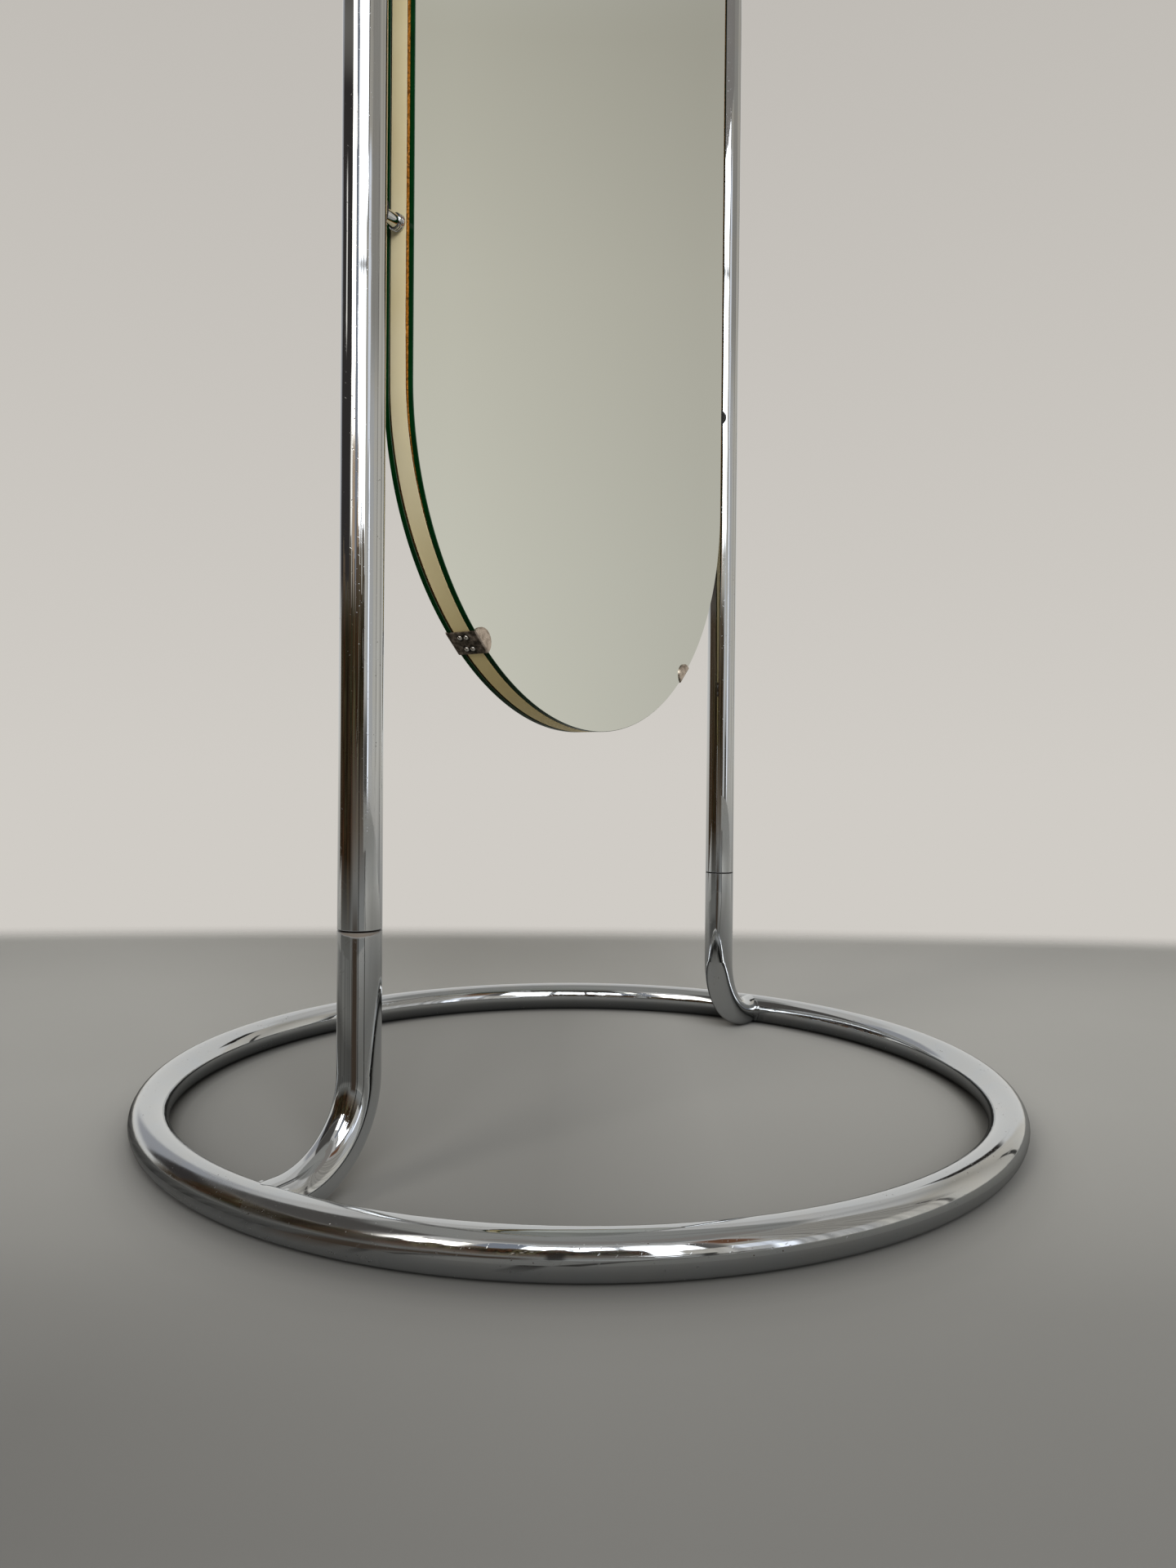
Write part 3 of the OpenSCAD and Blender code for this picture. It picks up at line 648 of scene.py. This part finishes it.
def mark_joint(tree, shader, place, plate):
    """A black gap line, and on the left stub a crescent of dried brown polish below it."""
    in_frame = add(tree, "ShaderNodeTexCoord").outputs["Object"]
    x, y, z = add(tree, "ShaderNodeSeparateXYZ", {0: in_frame}).outputs
    off_joint = add(tree, "ShaderNodeMath", {0: z, 1: JOINT_Z}, operation="SUBTRACT")
    near_joint = add(tree, "ShaderNodeMath", {0: off_joint}, operation="ABSOLUTE")
    line = add(tree, "ShaderNodeMapRange", {0: near_joint, 1: 0.0008, 2: 0.0005})
    lined = add(tree, "ShaderNodeMix", {0: line, 6: plate.outputs[2], 7: linear("#14110F")},
                data_type="RGBA")

    # The polish hangs lowest on the side that faces the front left, and its edge is ragged
    flat = add(tree, "ShaderNodeCombineXYZ", {0: x, 1: y})
    facing = add(tree, "ShaderNodeVectorMath", {0: flat, 1: (-0.7, -0.7, 0.0)},
                 operation="DOT_PRODUCT").outputs["Value"]
    hang = add(tree, "ShaderNodeMapRange", {0: facing, 1: 0.1575, 2: 0.170, 3: -0.0004, 4: -0.0044})
    smear = add(tree, "ShaderNodeTexNoise", {"Vector": place, "Scale": 420.0, "Detail": 3.0})
    ragged_hang = add(tree, "ShaderNodeMath", {0: smear, 1: 0.0012, 2: hang}, operation="MULTIPLY_ADD")
    above = add(tree, "ShaderNodeMath", {0: off_joint, 1: ragged_hang}, operation="SUBTRACT")
    residue = add(tree, "ShaderNodeMapRange", {0: above, 1: 0.0002, 2: 0.0012, 4: 0.85})
    below = add(tree, "ShaderNodeMath", {0: off_joint, 1: 0.0}, operation="LESS_THAN")
    left = add(tree, "ShaderNodeMath", {0: x, 1: 0.0}, operation="LESS_THAN")
    there = add(tree, "ShaderNodeMath", {0: below, 1: left}, operation="MULTIPLY")
    off_line = add(tree, "ShaderNodeMath", {0: 1.0, 1: line}, operation="SUBTRACT")
    there = add(tree, "ShaderNodeMath", {0: there, 1: off_line}, operation="MULTIPLY")
    crust = add(tree, "ShaderNodeMath", {0: residue, 1: there}, operation="MULTIPLY")
    stuck = add(tree, "ShaderNodeMath", {0: crust, 1: line}, operation="MAXIMUM")
    bare = add(tree, "ShaderNodeMath", {0: 1.0, 1: stuck}, operation="SUBTRACT")
    tree.links.new(bare.outputs[0], shader.inputs["Metallic"])
    return add(tree, "ShaderNodeMix", {0: crust, 6: lined.outputs[2], 7: linear("#5E5040")},
               data_type="RGBA")


print("joint", 1000 * JOINT_Z, "mm up")

# %% Chrome finish


def chrome(name, kind, worn):
    """Polished chrome plate on drawn tube. worn, from 0 to 1, deepens scratches, haze and pits."""
    made, tree, shader = new_material(name, Metallic=1.0)
    place = tube_place(tree, kind)

    # Slow tone changes: the nickel under the chrome shows a little warmer in places
    patch = add(tree, "ShaderNodeTexNoise", {"Vector": place, "Scale": 38.0, "Detail": 2.0})
    plate = add(tree, "ShaderNodeMix", {0: patch, 6: linear("#C7CCD1"), 7: linear("#CDCDCB")},
                data_type="RGBA")
    pits, slow = pits_in(tree, place, worn)
    colour = add(tree, "ShaderNodeMix", {0: pits, 6: plate.outputs[2], 7: linear("#4A3F36")},
                 data_type="RGBA")
    if kind in ("post", "stub"):
        colour = mark_joint(tree, shader, place, colour)
    tree.links.new(colour.outputs[2], shader.inputs["Base Color"])

    # One side of the ring has been scuffed dull by feet
    dulled = 0.0
    if kind == "ring":
        spot = add(tree, "ShaderNodeVectorMath",
                   {0: add(tree, "ShaderNodeTexCoord").outputs["Object"], 1: (-0.285, 0.02, 0.02)},
                   operation="DISTANCE")
        dulled = add(tree, "ShaderNodeMapRange", {0: spot.outputs["Value"], 1: 0.16, 2: 0.06,
                                                  3: 0.0, 4: 0.12})

    # Haze where hands and cloths have dulled it
    haze = add(tree, "ShaderNodeMapRange", {0: slow, 1: 0.45, 2: 0.75, 3: 0.015, 4: 0.03 + 0.10 * worn})
    hazy = add(tree, "ShaderNodeMath", {0: dulled, 1: haze}, operation="ADD")
    grooves = grooves_in(tree, place)
    dull = add(tree, "ShaderNodeMath", {0: grooves, 1: 0.18 * worn, 2: hazy}, operation="MULTIPLY_ADD")
    duller = add(tree, "ShaderNodeMath", {0: pits, 1: 0.45, 2: dull}, operation="MULTIPLY_ADD")
    tree.links.new(duller.outputs[0], shader.inputs["Roughness"])

    # The ripple left by drawing and bending: 30 mm waves, a few hundredths of a millimetre deep
    waving = add(tree, "ShaderNodeVectorMath", {0: place, 1: (60.0, 60.0, 22.0)}, operation="MULTIPLY")
    ripple = add(tree, "ShaderNodeTexNoise", {"Vector": waving, "Scale": 1.0, "Detail": 1.0})
    wave = add(tree, "ShaderNodeBump", {"Strength": 1.0, "Distance": 0.00012,
                                        "Height": ripple.outputs["Fac"]})
    cut = add(tree, "ShaderNodeMath", {0: grooves, 1: pits}, operation="MAXIMUM")
    bump = add(tree, "ShaderNodeBump", {"Strength": 0.3 + 0.4 * worn, "Distance": 0.00003,
                                        "Height": cut, "Normal": wave}, invert=True)
    tree.links.new(bump.outputs[0], shader.inputs["Normal"])
    return made


CHROME_FOR = {
    "base_ring": chrome("chrome_on_ring", "ring", 1.0),
    "hoop": chrome("chrome_on_posts", "post", 0.4),
    "left_stub": chrome("chrome_on_stubs", "stub", 0.6),
    "fitting": chrome("chrome_on_fittings", "fitting", 0.3),
}
CHROME_FOR["right_stub"] = CHROME_FOR["left_stub"]
for name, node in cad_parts.items():
    for slot in node.material_slots:
        if slot.material.name.startswith(("chromed_tube", "chromed_fitting")):
            slot.material = CHROME_FOR.get(name, CHROME_FOR["fitting"])
print("chrome on", sum(n.material_slots[0].material.name.startswith("chrome_on")
                       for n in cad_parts.values()), "nodes")

# %% [markdown]
# ## The panel's outline
# Panes, board and band share one outline: two straight sides and two half rounds. A function walks
# round it once and gives each point with the direction straight out from the edge. Every ring of
# vertices then is that walk, moved out and through the panel by two numbers. A curve with a bevel
# could sweep it too, but then the edges of the band couldn't wander one by one.

# %% Outline and loft


def outline(arc_steps, side_steps):
    """Points round the panel from its top, as (centre z, outward x, outward z), to the left first."""
    arc = [math.radians(180 * i / arc_steps) for i in range(arc_steps + 1)]
    walk = [(HIGH_Z, math.cos(turn), math.sin(turn)) for turn in arc]
    side = [HIGH_Z + (LOW_Z - HIGH_Z) * i / side_steps for i in range(1, side_steps)]
    walk += [(z, -1.0, 0.0) for z in side]
    walk += [(LOW_Z, -math.cos(turn), -math.sin(turn)) for turn in arc]
    walk += [(z, 1.0, 0.0) for z in reversed(side)]
    return walk[arc_steps // 2:] + walk[:arc_steps // 2]


def loft(name, walk, profile, slots, faces=()):
    """Sweeps a profile of (radius, y) round the walk. A radius or y may be a function of a point.
    slots gives the material of each strip, and faces the two (ring, material) of the flat ends."""
    count = len(walk)
    points = []
    for radius, y in profile:
        for index, (centre, ox, oz) in enumerate(walk):
            r = radius(index) if callable(radius) else radius
            points.append((ox * r, y(index) if callable(y) else y, centre + oz * r))
    quads = []
    which = []
    rows = len(profile)
    for row in range(rows - 1 if faces else rows):
        a, b = row * count, (row + 1) % rows * count
        for i in range(count):
            j = (i + 1) % count
            quads.append((a + i, a + j, b + j, b + i))
            which.append(slots[row])
    for row, slot in faces:
        for i in range(count // 2):
            j, k = (count - i) % count, count - i - 1
            corners = dict.fromkeys(row * count + c for c in (i, i + 1, k, j))
            quads.append(tuple(corners))
            which.append(slot)
    mesh = bpy.data.meshes.new(name)
    mesh.from_pydata(points, [], quads)
    mesh.polygons.foreach_set("material_index", which)
    edit = bmesh.new()
    edit.from_mesh(mesh)
    bmesh.ops.recalc_face_normals(edit, faces=edit.faces)
    edit.to_mesh(mesh)
    edit.free()
    mesh.shade_smooth()
    mesh.set_sharp_from_angle(angle=math.radians(30))
    made = bpy.data.objects.new(name, mesh)
    scene.collection.objects.link(made)
    return made


def stand_for(piece, node, slot, *materials):
    """The piece takes the place of a CAD node and gets its materials."""
    for material in materials:
        piece.data.materials.append(material)
    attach(piece, "root")
    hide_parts(node)
    return piece


WALK = outline(120, 24)
print("outline:", len(WALK), "points")

# %% [markdown]
# ## Panes
# Each pane is 4 mm float glass, silvered on its back. Seen from the front it is a mirror with a
# slight green cast, because iron in the glass takes a little red and blue. Seen from the edge, the
# light has come through centimetres of that glass, so the edge is nearly black green. The corners
# are ground to a narrow arris, which is matt and catches a thin pale line. A bevel modifier could
# grind them, but two more rings of vertices do it and take a material of their own.

# %% Pane materials
silvered, tree, shader = new_material("silvered_float_glass", Metallic=1.0)
place = add(tree, "ShaderNodeTexCoord").outputs["Object"]
film = add(tree, "ShaderNodeTexNoise", {"Vector": place, "Scale": 9.0, "Detail": 4.0})
tone = add(tree, "ShaderNodeMix", {0: film, 6: linear("#E9EDE7"), 7: linear("#EAEEE9")},
           data_type="RGBA")
tree.links.new(tone.outputs[2], shader.inputs["Base Color"])
wiped = add(tree, "ShaderNodeMapRange", {0: film.outputs["Fac"], 1: 0.3, 2: 0.8, 3: 0.0, 4: 0.015})
tree.links.new(wiped.outputs[0], shader.inputs["Roughness"])

green_edge, tree, shader = new_material("glass_edge", Roughness=0.22, IOR=1.52, Specular_IOR_Level=0.06)
place = add(tree, "ShaderNodeTexCoord").outputs["Object"]
depth = add(tree, "ShaderNodeTexNoise", {"Vector": place, "Scale": 60.0, "Detail": 2.0})
tone = add(tree, "ShaderNodeMix", {0: depth, 6: linear("#001A08"), 7: linear("#003812")},
           data_type="RGBA")
tree.links.new(tone.outputs[2], shader.inputs["Base Color"])

arris, tree, shader = new_material("ground_arris", Roughness=0.45, IOR=1.52, Specular_IOR_Level=0.3)
place = add(tree, "ShaderNodeTexCoord").outputs["Object"]
grind = add(tree, "ShaderNodeTexNoise", {"Vector": place, "Scale": 900.0, "Detail": 2.0})
tone = add(tree, "ShaderNodeMix", {0: grind, 6: linear("#12301B"), 7: linear("#3F5040")},
           data_type="RGBA")
tree.links.new(tone.outputs[2], shader.inputs["Base Color"])
print("glass: mirror face, green edge, ground arris")

# %% Panes
ARRIS = 0.0003

for node, way in (("front_pane", -1), ("rear_pane", 1)):
    front = way * FACE_Y
    back = way * BOARD_HALF
    profile = [(PANEL_R - ARRIS, front), (PANEL_R, front - way * ARRIS),
               (PANEL_R, back + way * ARRIS), (PANEL_R - ARRIS, back)]
    piece = loft("glass_" + node, WALK, profile, [2, 1, 2], faces=[(0, 0), (3, 1)])
    stand_for(piece, node, "mirror_glass", silvered, green_edge, arris)
    print(piece.name, len(piece.data.polygons), "faces")

# %% [markdown]
# ## Board and edge band
# The core is chipboard. Where the band doesn't reach the glass, its raw orange-brown edge shows as
# a rough line. The band is a strip of melamine paper glued on by hand, so it wanders: at the upper
# left it leaves more board bare towards the front, and on the lower curve more towards the back.
# The eye reads the thing as hand-made from just that wandering line. A mask in one material could
# draw it, but real edges catch the light, so band and board are two meshes.

# %% Chipboard
chips, tree, shader = new_material("raw_chipboard", Roughness=0.9, Specular_IOR_Level=0.2)
place = add(tree, "ShaderNodeTexCoord").outputs["Object"]
grain = add(tree, "ShaderNodeTexVoronoi", {"Vector": place, "Scale": 900.0, "Randomness": 1.0})
chip = add(tree, "ShaderNodeValToRGB", {0: grain.outputs["Color"]})
chip.color_ramp.interpolation = "CONSTANT"
fill_ramp(chip, [(0.0, "#7A4A14"), (0.25, "#A8691E"), (0.5, "#BF7826"), (0.75, "#D08C3C")])
gap = add(tree, "ShaderNodeMapRange", {0: grain.outputs["Distance"], 1: 0.35, 2: 0.8, 3: 1.0, 4: 0.6})
darker = add(tree, "ShaderNodeMix", {0: 1.0, 6: chip, 7: gap}, data_type="RGBA", blend_type="MULTIPLY")
depth = add(tree, "ShaderNodeSeparateXYZ", {0: place}).outputs["Y"]
# The raw edge is darker towards the rear face
toward_rear = add(tree, "ShaderNodeMapRange", {0: depth, 1: 0.0, 2: 0.005, 3: 1.0, 4: 0.12})
darker_at_rear = add(tree, "ShaderNodeVectorMath", {0: darker.outputs[2], 3: toward_rear}, operation="SCALE")
tree.links.new(darker_at_rear.outputs[0], shader.inputs["Base Color"])
rough = add(tree, "ShaderNodeBump", {"Strength": 0.7, "Distance": 0.0002,
                                     "Height": grain.outputs["Distance"]}, invert=True)
tree.links.new(rough.outputs[0], shader.inputs["Normal"])
print("chipboard: chips about", round(1000 / 900, 1), "mm across")

# %% Melamine band and its dark sides
melamine, tree, shader = new_material("yellowed_melamine_band", Roughness=0.42,
                                      Specular_IOR_Level=0.4)
place = add(tree, "ShaderNodeTexCoord").outputs["Object"]
stain = add(tree, "ShaderNodeTexNoise", {"Vector": place, "Scale": 14.0, "Detail": 4.0})
blotch = add(tree, "ShaderNodeMapRange", {0: stain.outputs["Fac"], 1: 0.35, 2: 0.72})
yellow = add(tree, "ShaderNodeMix", {0: blotch, 6: linear("#DED2AE"), 7: linear("#D4C498")},
             data_type="RGBA")
height_here = add(tree, "ShaderNodeSeparateXYZ", {0: place}).outputs["Z"]
underside = add(tree, "ShaderNodeMapRange", {0: height_here, 1: 0.42, 2: 0.29, 3: 0.0, 4: 0.8})
yellow = add(tree, "ShaderNodeMix", {0: underside, 6: yellow.outputs[2], 7: linear("#E3CC88")},
             data_type="RGBA")
fly = add(tree, "ShaderNodeTexVoronoi", {"Vector": place, "Scale": 75.0})
spot = add(tree, "ShaderNodeMapRange", {0: fly.outputs["Distance"], 1: 0.05, 2: 0.035})
some = add(tree, "ShaderNodeMath", {0: fly.outputs["Color"], 1: 0.86}, operation="GREATER_THAN")
speck = add(tree, "ShaderNodeMath", {0: spot, 1: some}, operation="MULTIPLY")
spotted = add(tree, "ShaderNodeMix", {0: speck, 6: yellow.outputs[2], 7: linear("#5A4326")},
              data_type="RGBA")
tree.links.new(spotted.outputs[2], shader.inputs["Base Color"])
slow = add(tree, "ShaderNodeTexNoise", {"Vector": place, "Scale": 45.0, "Detail": 3.0})
wavy = add(tree, "ShaderNodeBump", {"Strength": 0.5, "Distance": 0.0004,
                                    "Height": slow.outputs["Fac"]})
tree.links.new(wavy.outputs[0], shader.inputs["Normal"])

# The band's side faces take a dark brown colour
band_sides, tree, shader = new_material("dark_glue_line", Base_Color=linear("#3A2410"), Roughness=0.6)
print("band of yellowed melamine, with a dark glue line")

# %% Edge band
FINE = outline(400, 420)
CORE_R = 0.19615
BAND_IN = 0.1962
BAND_EDGE = 0.00015


def wander(seed):
    """A slow hand-made deviation in metres for each point of the fine walk."""
    return [noise.noise(Vector((ox * 2.2 + seed, centre * 5.0, oz * 2.2)))
            for centre, ox, oz in FINE]


def lowness(index):
    """0 up at the straight sides and 1 on the lower curve."""
    centre, ox, oz = FINE[index]
    height_here = centre + oz * PANEL_R
    return min(1.0, max(0.0, (0.50 - height_here) / 0.14))


drift_front = wander(3.1)
drift_rear = wander(8.7)
ragged = [noise.noise(Vector((ox * 190.0, centre * 190.0, oz * 190.0 + 5.0))) for centre, ox, oz in FINE]


def band_front(index):
    """y of the band's front edge: 2.2 mm of board is bare up the sides, next to none below."""
    bare = 0.0022 - 0.0019 * lowness(index) + 0.0004 * drift_front[index] + 0.00008 * ragged[index]
    return -BOARD_HALF + max(bare, 0.0001)


def band_rear(index):
    """y of the band's rear edge: 0.8 mm of board is bare up the sides, and 1.8 mm below."""
    bare = 0.0008 + 0.0010 * lowness(index) + 0.0003 * drift_rear[index]
    return BOARD_HALF - max(bare, 0.0001)


band_r = PANEL_R - 0.00002
profile = [(BAND_IN, band_front), (band_r - BAND_EDGE, band_front),
           (band_r, lambda i: band_front(i) + BAND_EDGE),
           (band_r, lambda i: (band_front(i) + band_rear(i)) / 2),
           (band_r, lambda i: band_rear(i) - BAND_EDGE),
           (band_r - BAND_EDGE, band_rear), (BAND_IN, band_rear)]
band = loft("melamine_band", FINE, profile, [1, 0, 0, 0, 0, 1, 1])
stand_for(band, "edge_band", "edge_band", melamine, band_sides)
print("band", len(band.data.polygons), "faces")

# %% Core board
chip_rows = [-0.00745, -0.0070, -0.0062, -0.0054, -0.0046, 0.0, 0.0050, 0.0058, 0.0066, 0.00745]


def crumbly(row):
    """The raw edge's radius: chips have broken out of it a few tenths of a millimetre deep."""
    def radius(index):
        if band_front(index) < chip_rows[row] < band_rear(index):
            return CORE_R
        centre, ox, oz = FINE[index]
        where = Vector((ox * PANEL_R * 420, chip_rows[row] * 420, (centre + oz * PANEL_R) * 420))
        return CORE_R + 0.0004 - 0.0004 * abs(noise.noise(where))
    return radius


profile = [(crumbly(row), y) for row, y in enumerate(chip_rows)]
board = loft("chipboard_core", FINE, profile, [0] * 9, faces=[(0, 0), (9, 0)])
stand_for(board, "core_board", "chipboard", chips)
print("board", len(board.data.polygons), "faces")

# %% [markdown]
# ## Clips, nails and bushes
# Each clip is a strip of nickelled steel folded over both panes and nailed to the board. Old nickel
# goes brown and blotchy, darkest where fingers and polish don't reach: in the folds and round the
# nails. The nails were left bright. Painting the grime by hand would do for one clip. To do it for
# all four, the material works out where a point lies on its clip: along the panel's edge, and
# through the panel.

# %% Places on a clip
CLIP_TURN = math.radians(47.5)
NAIL_PITCH = 0.0094
NAIL_GAUGE = 0.005

nickel, tree, shader = new_material("aged_nickel_plate", Metallic=0.75)
here = add(tree, "ShaderNodeSeparateXYZ", {0: add(tree, "ShaderNodeTexCoord").outputs["Object"]})
x, y, z = here.outputs
over = add(tree, "ShaderNodeMath", {0: z, 1: HIGH_Z}, operation="SUBTRACT")
under = add(tree, "ShaderNodeMath", {0: LOW_Z, 1: z}, operation="SUBTRACT")
past = add(tree, "ShaderNodeMath", {0: over, 1: under}, operation="MAXIMUM")
out = add(tree, "ShaderNodeMath", {0: x}, operation="ABSOLUTE")
turn = add(tree, "ShaderNodeMath", {0: past, 1: out}, operation="ARCTAN2")
along = add(tree, "ShaderNodeMath", {0: turn, 1: PANEL_R, 2: -CLIP_TURN * PANEL_R},
            operation="MULTIPLY_ADD")
along_side = add(tree, "ShaderNodeMath", {0: along}, operation="ABSOLUTE")
from_pair = add(tree, "ShaderNodeMath", {0: along_side, 1: NAIL_PITCH / 2}, operation="SUBTRACT")
through = add(tree, "ShaderNodeMath", {0: y}, operation="ABSOLUTE")
from_row = add(tree, "ShaderNodeMath", {0: through, 1: NAIL_GAUGE / 2}, operation="SUBTRACT")
flat = add(tree, "ShaderNodeCombineXYZ", {0: from_pair, 1: from_row})
from_nail = add(tree, "ShaderNodeVectorMath", {0: flat}, operation="LENGTH").outputs["Value"]
round_nail = add(tree, "ShaderNodeMapRange", {0: from_nail, 1: 0.0034, 2: 0.0018})
to_fold = add(tree, "ShaderNodeMath", {0: through, 1: FACE_Y - 0.0006}, operation="SUBTRACT")
off_fold = add(tree, "ShaderNodeMath", {0: to_fold}, operation="ABSOLUTE")
at_fold = add(tree, "ShaderNodeMapRange", {0: off_fold, 1: 0.0012, 2: 0.0004, 4: 0.1})
on_lip = add(tree, "ShaderNodeMapRange", {0: through, 1: FACE_Y, 2: FACE_Y + 0.0003})
print("four nails to a clip,", 1000 * NAIL_PITCH, "by", 1000 * NAIL_GAUGE, "mm apart")

# %% Old nickel
place = add(tree, "ShaderNodeTexCoord").outputs["Object"]
blot = add(tree, "ShaderNodeTexNoise", {"Vector": place, "Scale": 260.0, "Detail": 4.0,
                                        "Roughness": 0.65})
fine = add(tree, "ShaderNodeTexNoise", {"Vector": place, "Scale": 1400.0, "Detail": 3.0})
grime = add(tree, "ShaderNodeMath", {0: round_nail, 1: at_fold}, operation="MAXIMUM")
grime = add(tree, "ShaderNodeMath", {0: grime, 1: 0.22, 2: blot}, operation="MULTIPLY_ADD")
grime = add(tree, "ShaderNodeMath", {0: on_lip, 1: -0.22, 2: grime}, operation="MULTIPLY_ADD")
grime = add(tree, "ShaderNodeMath", {0: fine, 1: 0.18, 2: grime}, operation="MULTIPLY_ADD")
old = add(tree, "ShaderNodeValToRGB", {0: grime})
fill_ramp(old, [(0.30, "#C2B4A6"), (0.45, "#9A8C7E"), (0.56, "#74685B"), (0.68, "#4A4236"),
                (0.82, "#1E180F")])
tree.links.new(old.outputs[0], shader.inputs["Base Color"])
crusted = add(tree, "ShaderNodeMapRange", {0: grime, 1: 0.3, 2: 0.8, 3: 0.26, 4: 0.6})
tree.links.new(crusted.outputs[0], shader.inputs["Roughness"])
dent = add(tree, "ShaderNodeBump", {"Strength": 0.6, "Distance": 0.0003, "Height": blot.outputs["Fac"]})
grit = add(tree, "ShaderNodeBump", {"Strength": 0.4, "Distance": 0.00006,
                                    "Height": fine.outputs["Fac"], "Normal": dent})
tree.links.new(grit.outputs[0], shader.inputs["Normal"])
print("old nickel:", len(tree.nodes), "nodes")

# %% Nail heads and bushes
bright, tree, shader = new_material("bright_nail_head", Metallic=1.0)
place = add(tree, "ShaderNodeTexCoord").outputs["Object"]
tarnish = add(tree, "ShaderNodeTexNoise", {"Vector": place, "Scale": 900.0, "Detail": 2.0})
tone = add(tree, "ShaderNodeMix", {0: tarnish, 6: linear("#F2EFE9"), 7: linear("#C4BCB0")},
           data_type="RGBA")
tree.links.new(tone.outputs[2], shader.inputs["Base Color"])
worn = add(tree, "ShaderNodeMapRange", {0: tarnish.outputs["Fac"], 1: 0.3, 2: 0.7, 3: 0.12, 4: 0.26})
tree.links.new(worn.outputs[0], shader.inputs["Roughness"])

bush, tree, shader = new_material("matt_black_nylon", Specular_IOR_Level=0.4)
place = add(tree, "ShaderNodeTexCoord").outputs["Object"]
rubbed = add(tree, "ShaderNodeTexNoise", {"Vector": place, "Scale": 800.0, "Detail": 3.0})
tone = add(tree, "ShaderNodeMix", {0: rubbed, 6: linear("#0B0B0B"), 7: linear("#211F1D")},
           data_type="RGBA")
tree.links.new(tone.outputs[2], shader.inputs["Base Color"])
sheen = add(tree, "ShaderNodeMapRange", {0: rubbed.outputs["Fac"], 1: 0.3, 2: 0.7, 3: 0.4, 4: 0.65})
tree.links.new(sheen.outputs[0], shader.inputs["Roughness"])
print("nail heads and bushes ready")

# %% Drawn steel inside the joints
drawn, tree, shader = new_material("bare_drawn_steel", Metallic=1.0, Base_Color=linear("#8F9194"))
place = add(tree, "ShaderNodeTexCoord").outputs["Object"]
along_tube = add(tree, "ShaderNodeVectorMath", {0: place, 1: (1500.0, 1500.0, 40.0)},
                 operation="MULTIPLY")
die_mark = add(tree, "ShaderNodeTexNoise", {"Vector": along_tube, "Scale": 1.0, "Detail": 2.0})
oily = add(tree, "ShaderNodeMapRange", {0: die_mark.outputs["Fac"], 1: 0.3, 2: 0.7, 3: 0.22, 4: 0.4})
tree.links.new(oily.outputs[0], shader.inputs["Roughness"])
print("drawn steel: die marks 25 mm long")

# %% Finishes on the fixed pieces
FINISH = {"aged_nickel": nickel, "nail": bright, "black_bush": bush, "bare_steel": drawn}
for name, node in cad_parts.items():
    for slot in node.material_slots:
        for start, finish in FINISH.items():
            if slot.material.name.startswith(start):
                slot.material = finish
print("clips, nails and bushes finished")
